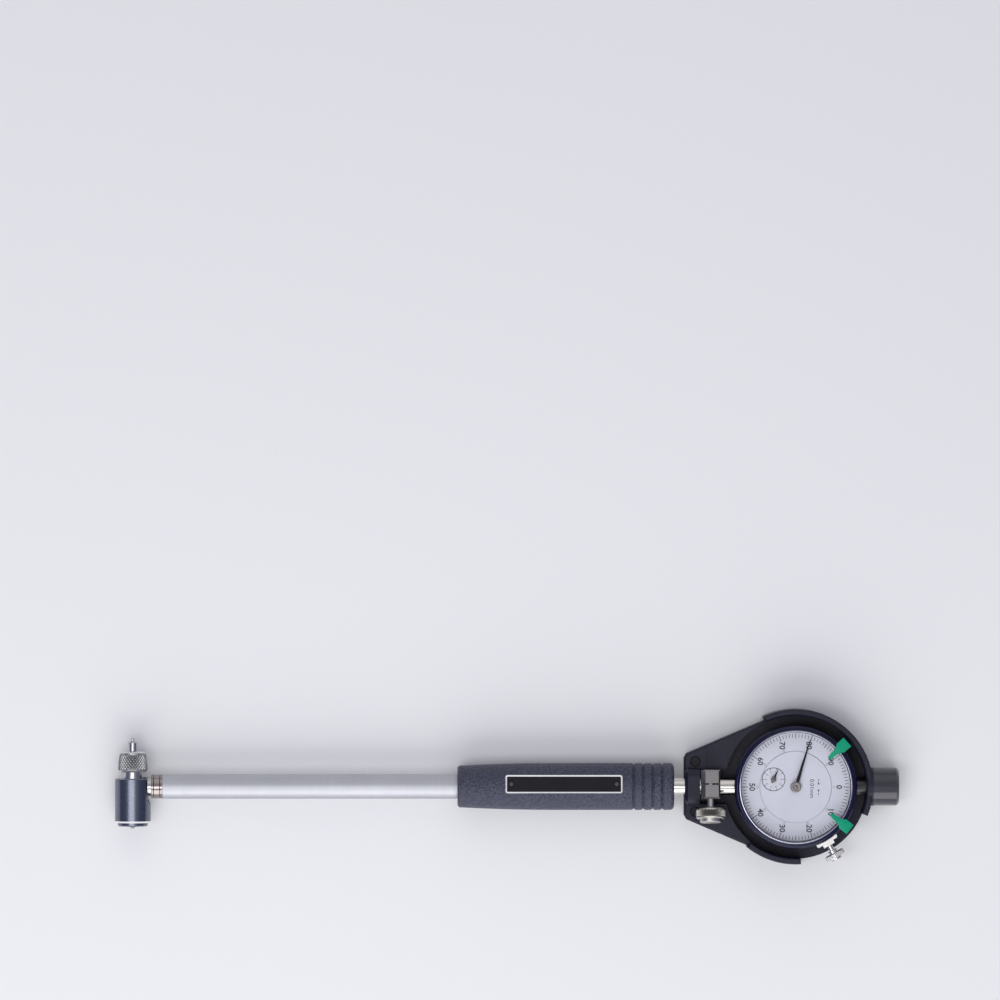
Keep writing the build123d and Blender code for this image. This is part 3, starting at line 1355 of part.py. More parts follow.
# Dial guard: moulded cup with a partial rim, a gap for the bezel clamp and a closed end tube
with BuildPart() as dial_guard:
    extrude(guard_face(dial_level(GUARD_BACK)), amount=GUARD_TOP - GUARD_BACK)
    chamfer(dial_guard.faces().sort_by(Axis.Z)[-1].outer_wire().edges(), 0.8)
    extrude(
        sector(dial_level(GUARD_BACK), RECESS_R, RIM_R, RIM_START_ANGLE, RIM_END_ANGLE),
        amount=RIM_TOP - GUARD_BACK,
    )
    extrude(
        sector(dial_level(GUARD_BACK), RECESS_R, RIM_R, FOOT_START_ANGLE, FOOT_END_ANGLE),
        amount=RIM_TOP - GUARD_BACK,
    )
    chamfer(dial_guard.faces().filter_by(Axis.Z).group_by(Axis.Z)[-1].edges(), 0.7)
    extrude(
        disc(across(DIAL_REACH + RECESS_R + 0.5), END_TUBE_D / 2),
        amount=END_REACH - DIAL_REACH - RECESS_R - 0.5,
    )
    chamfer(dial_guard.faces().sort_by(Axis.X)[-1].edges(), 1.0)
    extrude(disc(dial_level(GUARD_FLOOR), RECESS_R), amount=2 * AXIS_Z, mode=Mode.SUBTRACT)
    extrude(
        disc(across(DIAL_REACH + RECESS_R - 3.0), END_TUBE_D / 2 - 2.3),
        amount=END_REACH - DIAL_REACH - RECESS_R + 1.0,
        mode=Mode.SUBTRACT,
    )
    extrude(
        sector(dial_level(GUARD_FLOOR), RECESS_R - 1.0, RIM_R + 1.0, FOOT_END_ANGLE, RIM_START_ANGLE),
        amount=2 * AXIS_Z,
        mode=Mode.SUBTRACT,
    )
    with BuildSketch(dial_level(GUARD_FLOOR)):
        with Locations((WINDOW_START / 2, 0)):
            Rectangle(-WINDOW_START, WINDOW_WIDTH)
    extrude(amount=2 * AXIS_Z, mode=Mode.SUBTRACT)
    extrude(
        outline(
            dial_level(CAP_SPLIT),
            (-GUARD_NECK - 1, -MOUTH_HALF - 9),
            (CAP_EDGE, -MOUTH_HALF - 9),
            (CAP_EDGE, MOUTH_HALF + 9),
            (-GUARD_NECK - 1, MOUTH_HALF + 9),
        ),
        amount=2 * AXIS_Z,
        mode=Mode.SUBTRACT,
    )
    extrude(disc(across(GUARD_START - 1), SHAFT_R + PRESS), amount=ARCH_LENGTH + 2, mode=Mode.SUBTRACT)
    with BuildSketch(dial_level(CAP_SPLIT - 5.0)):
        with Locations(*CAP_SCREWS):
            Circle(CAP_SCREW_R)
    extrude(amount=5.0, mode=Mode.SUBTRACT)
dial_guard.part.label = "dial_guard"

# Guard cap: arch over the shaft, screwed down on the guard's mouth
ARCH_HALF = WINDOW_HALF + 0.4
ARCH_TOP = SHAFT_R + 2.2
ARCH_RISE = ARCH_TOP - CAP_SPLIT
ARCH_SHOULDER = 4.0
ARCH_BEVEL = 1.4
ARCH_START = GUARD_START + 0.3
ARCH_FULL = ARCH_START + ARCH_BEVEL


def arch_section(place, inset):
    """Section of the cap's arch over the shaft, drawn in by an inset."""
    with BuildSketch(across(place)) as face:
        with Locations((0, CAP_SPLIT)):
            RectangleRounded(
                2 * (ARCH_HALF - inset),
                2 * (ARCH_RISE - inset),
                ARCH_SHOULDER - inset / 2,
            )
        with Locations((0, CAP_SPLIT - ARCH_RISE)):
            Rectangle(2 * ARCH_HALF, 2 * ARCH_RISE, mode=Mode.SUBTRACT)
    return face.sketch


with BuildPart() as guard_cap:
    extrude(guard_face(dial_level(CAP_SPLIT)), amount=GUARD_TOP - CAP_SPLIT)
    chamfer(guard_cap.faces().sort_by(Axis.Z)[-1].outer_wire().edges(), 0.8)
    extrude(
        outline(
            dial_level(CAP_SPLIT),
            (CAP_EDGE - 0.1, -2 * RIM_R),
            (RIM_R + 1, -2 * RIM_R),
            (RIM_R + 1, 2 * RIM_R),
            (CAP_EDGE - 0.1, 2 * RIM_R),
        ),
        amount=2 * AXIS_Z,
        mode=Mode.SUBTRACT,
    )
    loft([arch_section(ARCH_START, ARCH_BEVEL).face(), arch_section(ARCH_FULL, 0).face()])
    extrude(arch_section(ARCH_FULL, 0), amount=GUARD_START + ARCH_LENGTH - ARCH_FULL)
    with BuildSketch(dial_level(CAP_SPLIT)):
        with Locations((WINDOW_START + RIM_R / 2, 0)):
            Rectangle(RIM_R, WINDOW_WIDTH)
    extrude(amount=2 * AXIS_Z, mode=Mode.SUBTRACT)
    extrude(disc(across(GUARD_START - 1), SHAFT_R + PRESS), amount=ARCH_LENGTH + 2, mode=Mode.SUBTRACT)
    with BuildSketch(dial_level(CAP_SPLIT)):
        with Locations(*CAP_SCREWS):
            Circle(CAP_SCREW_R + 0.1)
    extrude(amount=2 * AXIS_Z, mode=Mode.SUBTRACT)
    with BuildSketch(dial_level(GUARD_TOP - 1.8)):
        with Locations(*CAP_SCREWS):
            Circle(2.5)
    extrude(amount=2.0, mode=Mode.SUBTRACT)
guard_cap.part.label = "guard_cap"

# Guard screws: two cross-head screws, heads sunk into the cap
with BuildPart() as guard_screws:
    with BuildSketch(dial_level(CAP_SPLIT - 4.5)):
        with Locations(*CAP_SCREWS):
            Circle(CAP_SCREW_R)
    extrude(amount=GUARD_TOP - 1.8 - CAP_SPLIT + 4.5)
    with BuildSketch(dial_level(GUARD_TOP - 1.8)):
        with Locations(*CAP_SCREWS):
            Circle(2.3)
    extrude(amount=1.4, taper=10)
    with BuildSketch(dial_level(GUARD_TOP - 1.1)):
        with Locations(*CAP_SCREWS):
            Rectangle(2.6, 0.6)
            Rectangle(0.6, 2.6)
    extrude(amount=1.0, mode=Mode.SUBTRACT)
guard_screws.part.label = "guard_screws"

PIECES = (
    head_body, guide_sleeve, guide_spring, contact_bush, contact_plunger, contact_tip,
    bell_crank, crank_pin, anvil, anvil_nut, neck_ring, tube, push_rod, rod_bush_front,
    rod_bush_rear, rod_spring, grip, name_plate, plate_rivets, shaft, stem_clamp, clamp_screw,
    stem, spindle_cap, spindle, spindle_point, indicator_case, case_back, back_screws,
    movement_plate, movement_bridge, centre_arbor, counter_arbor, take_up_wheel, hairspring,
    dial_centre, scale_ring, bezel, crystal, main_hand, counter_hand, limit_marker_a,
    limit_marker_b, bezel_clamp_shoe, bezel_clamp_screw, dial_guard, guard_cap, guard_screws,
)
for piece in PIECES:
    export_step(piece.part, f"parts/{piece.part.label}.step")
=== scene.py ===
import json
from math import cos, pi, radians, sin

import bmesh
import bpy
from mathutils import Matrix, Vector


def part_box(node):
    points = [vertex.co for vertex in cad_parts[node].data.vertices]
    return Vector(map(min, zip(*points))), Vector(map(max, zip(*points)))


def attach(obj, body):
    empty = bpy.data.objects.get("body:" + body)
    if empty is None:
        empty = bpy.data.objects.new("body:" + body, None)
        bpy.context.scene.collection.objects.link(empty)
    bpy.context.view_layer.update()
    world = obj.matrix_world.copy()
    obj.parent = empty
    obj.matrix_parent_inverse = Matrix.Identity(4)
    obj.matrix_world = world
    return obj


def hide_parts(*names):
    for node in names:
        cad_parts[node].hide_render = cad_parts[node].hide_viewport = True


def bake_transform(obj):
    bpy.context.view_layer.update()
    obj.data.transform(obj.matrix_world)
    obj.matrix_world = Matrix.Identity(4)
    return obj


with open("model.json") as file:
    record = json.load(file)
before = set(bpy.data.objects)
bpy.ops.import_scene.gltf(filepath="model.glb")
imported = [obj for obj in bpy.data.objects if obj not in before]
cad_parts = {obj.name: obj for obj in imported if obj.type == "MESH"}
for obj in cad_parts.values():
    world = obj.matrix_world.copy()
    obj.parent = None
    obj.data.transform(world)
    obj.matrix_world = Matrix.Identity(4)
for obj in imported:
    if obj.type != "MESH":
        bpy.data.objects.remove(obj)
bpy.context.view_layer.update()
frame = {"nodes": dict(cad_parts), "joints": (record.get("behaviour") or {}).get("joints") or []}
nodes = frame["nodes"]
turning = {joint["name"]: joint for joint in frame["joints"]}


# The measuring head is a cross piece of turned and ground steel. Its neck goes into the tube,
# its boss carries the anvil, and the plunger, bell crank, push rod and spindle run inside it.
# All of them are bare metal with fine rings left by the lathe.
def new_group(name, kind, inputs, outputs):
    """Node group with its sockets, and the two nodes that hold them."""
    group = bpy.data.node_groups.new(name, kind)
    for label, socket, start in inputs:
        made = group.interface.new_socket(name=label, in_out="INPUT", socket_type=socket)
        if start is not None:
            made.default_value = start
    for label, socket in outputs:
        group.interface.new_socket(name=label, in_out="OUTPUT", socket_type=socket)
    return group, group.nodes.new("NodeGroupInput"), group.nodes.new("NodeGroupOutput")


def wire(tree, *pairs):
    """Links sockets of a node tree, each pair from an output to an input."""
    for source, target in pairs:
        tree.links.new(source, target)


def figure(tree, operation, *values):
    """Result socket of one sum of sockets and numbers."""
    node = tree.nodes.new("ShaderNodeMath")
    node.operation = operation
    for slot, value in zip(node.inputs, values):
        if isinstance(value, (int, float)):
            slot.default_value = value
        else:
            wire(tree, (value, slot))
    return node.outputs[0]


def clouds(tree, place, scale, detail):
    """Soft noise over a place."""
    noise = tree.nodes.new("ShaderNodeTexNoise")
    noise.inputs["Detail"].default_value = detail
    wire(tree, (place, noise.inputs["Vector"]), (scale, noise.inputs["Scale"]))
    return noise


def lathe_marks_group():
    """Fine rings across one direction, and broad smudges left by handling."""
    group, given, result = new_group(
        "lathe_marks",
        "ShaderNodeTree",
        (
            ("Place", "NodeSocketVector", None),
            ("Across", "NodeSocketVector", (1.0, 0.0, 0.0)),
            ("Lines", "NodeSocketFloat", 6000.0),
            ("Smudges", "NodeSocketFloat", 90.0),
        ),
        (("Rings", "NodeSocketFloat"), ("Smudge", "NodeSocketFloat")),
    )
    stretch = group.nodes.new("ShaderNodeVectorMath")
    stretch.operation = "MULTIPLY"
    rings = clouds(group, stretch.outputs["Vector"], given.outputs["Lines"], 3.0)
    rings.inputs["Roughness"].default_value = 0.65
    smudge = clouds(group, given.outputs["Place"], given.outputs["Smudges"], 4.0)
    wire(
        group,
        (given.outputs["Place"], stretch.inputs[0]),
        (given.outputs["Across"], stretch.inputs[1]),
        (rings.outputs["Fac"], result.inputs["Rings"]),
        (smudge.outputs["Fac"], result.inputs["Smudge"]),
    )
    return group


def ranged(tree, source, low, high, start=0.3, end=0.7):
    """Spreads a mask between two values and gives the socket."""
    spread = tree.nodes.new("ShaderNodeMapRange")
    spread.inputs["From Min"].default_value = start
    spread.inputs["From Max"].default_value = end
    spread.inputs["To Min"].default_value = low
    spread.inputs["To Max"].default_value = high
    wire(tree, (source, spread.inputs["Value"]))
    return spread.outputs["Result"]


def named(sockets):
    """Sockets of a node by their identifiers."""
    return {slot.identifier: slot for slot in sockets}


def mixed(tree, mask, kind, end):
    """First input, second input and result of a mix that goes by a mask."""
    mix = tree.nodes.new("ShaderNodeMix")
    mix.data_type = kind
    slots = named(mix.inputs)
    wire(tree, (mask, slots["Factor_Float"]))
    return slots[f"A_{end}"], slots[f"B_{end}"], named(mix.outputs)[f"Result_{end}"]


def blended(tree, mask, dark, light):
    """Colour between two shades, chosen by a mask."""
    first, second, shade = mixed(tree, mask, "RGBA", "Color")
    first.default_value = (*dark, 1.0)
    second.default_value = (*light, 1.0)
    return shade


ROUND_ENOUGH = radians(8.0)


def true_round_group():
    """Exact normal of a round surface about an axis, wherever the mesh's own normal is close to it."""
    group, given, result = new_group(
        "true_round",
        "ShaderNodeTree",
        (
            ("Place", "NodeSocketVector", None),
            ("Normal", "NodeSocketVector", None),
            ("Centre", "NodeSocketVector", (0.0, 0.0, 0.0)),
            ("Square", "NodeSocketVector", (0.0, 1.0, 1.0)),
        ),
        (("Normal", "NodeSocketVector"),),
    )
    steps = []
    for operation in ("SUBTRACT", "MULTIPLY", "NORMALIZE", "DOT_PRODUCT"):
        step = group.nodes.new("ShaderNodeVectorMath")
        step.operation = operation
        steps.append(step)
    offset, flat, outward, likeness = steps
    world = group.nodes.new("ShaderNodeVectorTransform")
    world.vector_type = "NORMAL"
    world.convert_from = "OBJECT"
    world.convert_to = "WORLD"
    close = figure(group, "GREATER_THAN", likeness.outputs["Value"], cos(ROUND_ENOUGH))
    first, second, chosen = mixed(group, close, "VECTOR", "Vector")
    wire(
        group,
        (given.outputs["Place"], offset.inputs[0]),
        (given.outputs["Centre"], offset.inputs[1]),
        (offset.outputs["Vector"], flat.inputs[0]),
        (given.outputs["Square"], flat.inputs[1]),
        (flat.outputs["Vector"], outward.inputs[0]),
        (outward.outputs["Vector"], world.inputs["Vector"]),
        (world.outputs["Vector"], likeness.inputs[0]),
        (given.outputs["Normal"], likeness.inputs[1]),
        (given.outputs["Normal"], first),
        (world.outputs["Vector"], second),
        (chosen, result.inputs["Normal"]),
    )
    return group


LATHE_MARKS = lathe_marks_group()
TRUE_ROUND = true_round_group()
AXIS_Z = turning["bezel_turn"]["pos_m"][2]
ROW_AXIS = ((0.0, 0.0, AXIS_Z), (0.0, 1.0, 1.0))
HEAD_AXIS = ((turning["anvil_nut_turn"]["pos_m"][0], 0.0, AXIS_Z), (1.0, 0.0, 1.0))


def roughened(tree, source, shader, strength, distance, axis=None):
    """Raises the surface by a height mask, on the exact round of an axis if one is given."""
    bump = tree.nodes.new("ShaderNodeBump")
    bump.inputs["Strength"].default_value = strength
    bump.inputs["Distance"].default_value = distance
    wire(tree, (source, bump.inputs["Height"]), (bump.outputs["Normal"], shader.inputs["Normal"]))
    if axis:
        skin = tree.nodes.new("ShaderNodeNewGeometry")
        place = tree.nodes.new("ShaderNodeTexCoord")
        exact = tree.nodes.new("ShaderNodeGroup")
        exact.node_tree = TRUE_ROUND
        exact.inputs["Centre"].default_value, exact.inputs["Square"].default_value = axis
        wire(
            tree,
            (place.outputs["Object"], exact.inputs["Place"]),
            (skin.outputs["Normal"], exact.inputs["Normal"]),
            (exact.outputs["Normal"], bump.inputs["Normal"]),
        )


ALONG_X = (1.0, 0.02, 0.02)
ALONG_Y = (0.02, 1.0, 0.02)
ALL_WAYS = (1.0, 1.0, 1.0)
RING_HEIGHT = 0.00002


def machined_metal(name, dark, light, gloss, across, lines=6000.0, depth=0.15, axis=None, bare=1.0):
    """Bare or plated metal with lathe rings across one direction, gloss is its two roughnesses."""
    metal = bpy.data.materials.new(name)
    metal.use_nodes = True
    tree = metal.node_tree
    shader = tree.nodes["Principled BSDF"]
    shader.inputs["Metallic"].default_value = bare
    place = tree.nodes.new("ShaderNodeTexCoord")
    marks = tree.nodes.new("ShaderNodeGroup")
    marks.node_tree = LATHE_MARKS
    marks.inputs["Across"].default_value = across
    marks.inputs["Lines"].default_value = lines
    wire(
        tree,
        (place.outputs["Object"], marks.inputs["Place"]),
        (blended(tree, marks.outputs["Smudge"], dark, light), shader.inputs["Base Color"]),
        (ranged(tree, marks.outputs["Rings"], *gloss), shader.inputs["Roughness"]),
    )
    roughened(tree, marks.outputs["Rings"], shader, depth, RING_HEIGHT, axis)
    return metal


def dress(finish, *names):
    """Gives CAD nodes a finish in place of their plain one."""
    for name in names:
        nodes[name].data.materials.clear()
        nodes[name].data.materials.append(finish)


ground_steel = machined_metal(
    "ground_steel", (0.42, 0.42, 0.44), (0.54, 0.54, 0.55), (0.16, 0.28), ALONG_Y, 6000.0, 0.15, HEAD_AXIS
)
long_steel = machined_metal("long_steel", (0.44, 0.44, 0.46), (0.56, 0.56, 0.57), (0.18, 0.30), ALONG_X)
hard_metal = machined_metal("hard_metal", (0.22, 0.22, 0.23), (0.30, 0.30, 0.31), (0.12, 0.22), ALONG_Y)
spring_wire = machined_metal("spring_wire", (0.30, 0.30, 0.32), (0.42, 0.42, 0.44), (0.25, 0.40), ALL_WAYS)
turned_brass = machined_metal("turned_brass", (0.62, 0.45, 0.20), (0.78, 0.60, 0.30), (0.20, 0.36), ALL_WAYS)
dress(ground_steel, "head_body", "anvil", "contact_plunger", "bell_crank", "crank_pin")
dress(long_steel, "push_rod", "spindle", "spindle_point", "centre_arbor", "back_screws")
dress(hard_metal, "contact_tip")
dress(spring_wire, "hairspring")
dress(turned_brass, "contact_bush", "rod_bush_front", "rod_bush_rear")
dress(turned_brass, "movement_bridge", "counter_arbor", "take_up_wheel")


# The guide sleeve is a sprung cup of hard chrome over steel, ground so fine that it mirrors,
# with a painted highlight on the chamfer at its rim. It slides on the head body and is slotted for the neck.
def tinted(finish, mask, colour):
    """Lays a colour over the masked part of a finish."""
    tree = finish.node_tree
    base = tree.nodes["Principled BSDF"].inputs["Base Color"]
    first, second, over = mixed(tree, mask, "RGBA", "Color")
    second.default_value = (*colour, 1.0)
    wire(tree, (base.links[0].from_socket, first), (over, base))


def along_axis(tree, axis):
    """How far a spot on the piece lies along one axis, in metres."""
    place = tree.nodes.new("ShaderNodeTexCoord")
    split = tree.nodes.new("ShaderNodeSeparateXYZ")
    wire(tree, (place.outputs["Object"], split.inputs["Vector"]))
    return split.outputs[axis]


sleeve_chrome = machined_metal(
    "sleeve_chrome", (0.150, 0.162, 0.205), (0.190, 0.203, 0.250), (0.22, 0.31), ALONG_Y, 5000.0, 0.05,
    HEAD_AXIS,
)
RIM_MIDDLE, RIM_HALF = -0.0165, 0.00043
sleeve_tree = sleeve_chrome.node_tree
# The band round the rim's chamfer is tinted near white, a painted highlight on the chrome.
sleeve_rim_highlight = figure(sleeve_tree, "COMPARE", along_axis(sleeve_tree, "Y"), RIM_MIDDLE, RIM_HALF)
tinted(sleeve_chrome, sleeve_rim_highlight, (0.92, 0.92, 0.94))
dress(sleeve_chrome, "guide_sleeve")


# The anvil nut is a chromed cap nut that clamps the exchangeable anvil on the boss.
# It is turned from bar with a crowned side, and a coarse diamond knurl is rolled on it
# above a smooth bright chamfer.
def eased(points, radius, steps=3):
    """Closed outline with each corner rounded, apart from those on the axis."""
    soft = []
    for index, point in enumerate(points):
        here = Vector(point)
        back = Vector(points[index - 1]) - here
        ahead = Vector(points[(index + 1) % len(points)]) - here
        reach = min(radius, 0.45 * back.length, 0.45 * ahead.length)
        if here.y < 1e-6:
            soft.append(here)
            continue
        first = here + back.normalized() * reach
        last = here + ahead.normalized() * reach
        for step in range(steps + 1):
            share = step / steps
            soft.append(first.lerp(here, share).lerp(here.lerp(last, share), share))
    return soft


def soft_shaded(mesh, angle=35.0):
    """Smooth shading, with edges left sharp past an angle."""
    mesh.polygons.foreach_set("use_smooth", [True] * len(mesh.polygons))
    mesh.set_sharp_from_angle(angle=radians(angle))
    mesh.update()
    return mesh


def as_mesh(name, shape, closed=False):
    """Mesh of a finished shape, its faces turned outward if it is closed."""
    if closed:
        bmesh.ops.recalc_face_normals(shape, faces=shape.faces)
    mesh = bpy.data.meshes.new(name)
    shape.to_mesh(mesh)
    shape.free()
    return mesh


def turned(name, points, radius=0.12, sides=96):
    """Piece turned about Z from a closed outline of (height, radius), in millimetres."""
    shape = bmesh.new()
    rings = []
    for height, reach in eased(points, radius):
        if reach < 1e-6:
            rings.append([shape.verts.new((0, 0, height / 1000))])
            continue
        rings.append([
            shape.verts.new((
                reach / 1000 * cos(2 * pi * side / sides),
                reach / 1000 * sin(2 * pi * side / sides),
                height / 1000,
            ))
            for side in range(sides)
        ])
    for index, ring in enumerate(rings):
        other = rings[(index + 1) % len(rings)]
        for side in range(sides):
            corners = []
            for circle, step in ((ring, side), (ring, side + 1), (other, side + 1), (other, side)):
                corner = circle[step % len(circle)]
                if corner not in corners:
                    corners.append(corner)
            if len(corners) > 2:
                shape.faces.new(corners)
    return soft_shaded(as_mesh(name, shape, True))


def coated(tree, given, result, instances):
    """Ends a tree of repeated shapes with a plain mesh in the given finish."""
    plain = tree.nodes.new("GeometryNodeRealizeInstances")
    coat = tree.nodes.new("GeometryNodeSetMaterial")
    wire(
        tree,
        (instances, plain.inputs["Geometry"]),
        (plain.outputs["Geometry"], coat.inputs["Geometry"]),
        (given.outputs["Finish"], coat.inputs["Material"]),
        (coat.outputs["Geometry"], result.inputs["Geometry"]),
    )


def diamond_knurl_tree():
    """Rows of small pyramids round a crowned cylinder along Z, each row set off by half a step."""
    tree, given, result = new_group(
        "diamond_knurl",
        "GeometryNodeTree",
        (
            ("Radius", "NodeSocketFloat", 0.007),
            ("Crown", "NodeSocketFloat", 0.0),
            ("Start", "NodeSocketFloat", 0.0),
            ("Row", "NodeSocketFloat", 0.0005),
            ("Depth", "NodeSocketFloat", 0.0003),
            ("Around", "NodeSocketInt", 40),
            ("Rows", "NodeSocketInt", 12),
            ("Finish", "NodeSocketMaterial", None),
        ),
        (("Geometry", "NodeSocketGeometry"),),
    )

    index = tree.nodes.new("GeometryNodeInputIndex").outputs[0]
    around, rows = given.outputs["Around"], given.outputs["Rows"]
    row = figure(tree, "FLOOR", figure(tree, "DIVIDE", index, around))
    set_off = figure(tree, "MULTIPLY", figure(tree, "MODULO", row, 2.0), 0.5)
    column = figure(tree, "ADD", figure(tree, "MODULO", index, around), set_off)
    angle = figure(tree, "MULTIPLY", figure(tree, "DIVIDE", column, around), 2 * pi)
    middle = figure(tree, "ADD", row, 0.5)
    climb = figure(tree, "MULTIPLY", middle, given.outputs["Row"])
    height = figure(tree, "ADD", climb, given.outputs["Start"])
    fall = figure(tree, "POWER", figure(tree, "DIVIDE", middle, rows), 2.0)
    drop = figure(tree, "MULTIPLY", fall, given.outputs["Crown"])
    reach = figure(tree, "SUBTRACT", given.outputs["Radius"], drop)
    half = figure(tree, "DIVIDE", figure(tree, "MULTIPLY", reach, pi), around)
    place = tree.nodes.new("ShaderNodeCombineXYZ")
    turn = tree.nodes.new("ShaderNodeCombineXYZ")
    turn.inputs["X"].default_value = pi / 2
    size = tree.nodes.new("ShaderNodeCombineXYZ")
    wire(
        tree,
        (figure(tree, "MULTIPLY", figure(tree, "COSINE", angle), reach), place.inputs["X"]),
        (figure(tree, "MULTIPLY", figure(tree, "SINE", angle), reach), place.inputs["Y"]),
        (height, place.inputs["Z"]),
        (figure(tree, "ADD", angle, pi / 2), turn.inputs["Z"]),
        (half, size.inputs["X"]),
        (given.outputs["Row"], size.inputs["Y"]),
        (given.outputs["Depth"], size.inputs["Z"]),
    )
    points = tree.nodes.new("GeometryNodeMeshLine")
    moved = tree.nodes.new("GeometryNodeSetPosition")
    tooth = tree.nodes.new("GeometryNodeMeshCone")
    tooth.fill_type = "NGON"
    tooth.inputs["Vertices"].default_value = 4
    tooth.inputs["Radius Top"].default_value = 0.14
    tooth.inputs["Radius Bottom"].default_value = 1.0
    tooth.inputs["Depth"].default_value = 1.0
    rise = tree.nodes.new("ShaderNodeSeparateXYZ")
    crest = tree.nodes.new("GeometryNodeStoreNamedAttribute")
    crest.data_type = "FLOAT"
    crest.domain = "POINT"
    crest.inputs["Name"].default_value = "crest"
    set_out = tree.nodes.new("GeometryNodeInstanceOnPoints")
    facing = tree.nodes.new("FunctionNodeEulerToRotation")
    wire(
        tree,
        (figure(tree, "MULTIPLY", around, rows), points.inputs["Count"]),
        (points.outputs["Mesh"], moved.inputs["Geometry"]),
        (place.outputs["Vector"], moved.inputs["Position"]),
        (moved.outputs["Geometry"], set_out.inputs["Points"]),
        (tree.nodes.new("GeometryNodeInputPosition").outputs[0], rise.inputs["Vector"]),
        (tooth.outputs["Mesh"], crest.inputs["Geometry"]),
        (rise.outputs["Z"], crest.inputs["Value"]),
        (crest.outputs["Geometry"], set_out.inputs["Instance"]),
        (turn.outputs["Vector"], facing.inputs["Euler"]),
        (facing.outputs["Rotation"], set_out.inputs["Rotation"]),
        (size.outputs["Vector"], set_out.inputs["Scale"]),
    )
    coated(tree, given, result, set_out.outputs["Instances"])
    return tree


def grown(tree, sizes):
    """Plain mesh that a tree of repeated shapes gives for these sizes."""
    holder = bpy.data.objects.new(tree.name, bpy.data.meshes.new(tree.name))
    bpy.context.scene.collection.objects.link(holder)
    maker = holder.modifiers.new("maker", "NODES")
    maker.node_group = tree
    for item in tree.interface.items_tree:
        if item.in_out == "INPUT":
            maker[item.identifier] = sizes[item.name]
    mesh = bpy.data.meshes.new_from_object(holder.evaluated_get(bpy.context.evaluated_depsgraph_get()))
    bpy.data.objects.remove(holder)
    return mesh


def joined(name, finish, *meshes):
    """One mesh from several, in one finish."""
    shape = bmesh.new()
    for mesh in meshes:
        shape.from_mesh(mesh)
    for face in shape.faces:
        face.material_index = 0
    whole = as_mesh(name, shape)
    whole.materials.append(finish)
    return whole


def axle(origin, along):
    """Matrix that takes a piece made about Z to its own axis, in metres."""
    lean = Vector(along).normalized().to_track_quat("Z", "Y").to_matrix().to_4x4()
    return Matrix.Translation(Vector(origin)) @ lean


def piece(name, mesh, place=None):
    """Object at the origin whose mesh holds its place."""
    if place is not None:
        mesh.transform(place)
    made = bpy.data.objects.new(name, mesh)
    bpy.context.scene.collection.objects.link(made)
    return made


def assembled(name, finish, place, *meshes):
    """Piece of several meshes in one finish."""
    return piece(name, joined(name, finish, *meshes), place)


def crested(mesh):
    """Marks a plain mesh as crest all over, so that only the knurl's valleys get the painted shade."""
    level = mesh.attributes.new("crest", "FLOAT", "POINT")
    level.data.foreach_set("value", [1.0] * len(mesh.vertices))
    return mesh


def knurled_metal(name, valley_shade, dark, light, gloss):
    """Plated metal with painted shade in its knurl's valleys."""
    metal = machined_metal(name, dark, light, gloss, ALONG_Y)
    level = metal.node_tree.nodes.new("ShaderNodeAttribute")
    level.attribute_name = "crest"
    # The valleys are tinted dark by tooth height: painted shade in the knurl.
    tinted(metal, ranged(metal.node_tree, level.outputs["Fac"], 1.0, 0.0, 0.15, 0.65), valley_shade)
    return metal


DIAMOND_KNURL = diamond_knurl_tree()
# The nut's knurl valleys get painted shade, near black.
nut_chrome = knurled_metal(
    "nut_chrome", (0.03, 0.03, 0.033), (0.62, 0.62, 0.63), (0.74, 0.74, 0.75), (0.30, 0.38)
)
nut_outline = (
    (0.0, 4.05), (0.0, 6.0), (1.0, 7.0), (1.2, 6.62), (3.0, 6.53), (4.8, 6.34), (6.5, 6.07),
    (8.55, 5.64), (8.8, 5.98), (9.55, 5.25), (9.55, 2.15), (7.78, 2.15), (7.78, 4.05),
)
nut_knurl = grown(DIAMOND_KNURL, {
    "Radius": 0.00668, "Crown": 0.00088, "Start": 0.00150, "Row": 0.00082, "Depth": 0.00045,
    "Around": 30, "Rows": 8, "Finish": nut_chrome,
})
nut_place = axle(turning["anvil_nut_turn"]["pos_m"], (0, 1, 0))
nut_body = crested(turned("nut_body", nut_outline))
anvil_nut = assembled("knurled_anvil_nut", nut_chrome, nut_place, nut_knurl, nut_body)
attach(anvil_nut, "nut")
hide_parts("anvil_nut")


# The two return springs are wound from round spring wire.
# One presses the sleeve out over the head, the other presses the push rod on to the crank.
WIRE_R = 0.00035


def coil(name, length, radius, turns, sides=8, steps=20):
    """Round wire wound about Z from the origin, in metres."""
    shape = bmesh.new()
    rings = []
    for step in range(turns * steps + 1):
        turn = 2 * pi * step / steps
        outward = Vector((cos(turn), sin(turn), 0))
        middle = outward * radius + Vector((0, 0, length * step / (turns * steps)))
        forward = Vector((-radius * sin(turn), radius * cos(turn), length / (2 * pi * turns))).normalized()
        upward = outward.cross(forward)
        rings.append([
            shape.verts.new(
                middle
                + outward * WIRE_R * cos(2 * pi * side / sides)
                + upward * WIRE_R * sin(2 * pi * side / sides)
            )
            for side in range(sides)
        ])
    for ring, other in zip(rings, rings[1:]):
        for side in range(sides):
            ahead = (side + 1) % sides
            shape.faces.new((ring[side], ring[ahead], other[ahead], other[side]))
    shape.faces.new(rings[0])
    shape.faces.new(rings[-1])
    mesh = as_mesh(name, shape, True)
    mesh.materials.append(spring_wire)
    return soft_shaded(mesh)


for node, body, along, turns in (
    ("guide_spring", "guide", Vector((0, 1, 0)), 3),
    ("rod_spring", "rod", Vector((1, 0, 0)), 4),
):
    spring_low, spring_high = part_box(node)
    spring_size = spring_high - spring_low
    spring_length = spring_size.dot(along) - 2 * WIRE_R
    first_end = (spring_low + spring_high - along * spring_length) / 2
    spring_mesh = coil(f"{node}_coil", spring_length, spring_size.z / 2 - WIRE_R, turns)
    spring = piece(f"{node}_coil", spring_mesh, axle(first_end, along))
    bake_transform(spring)
    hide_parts(node)


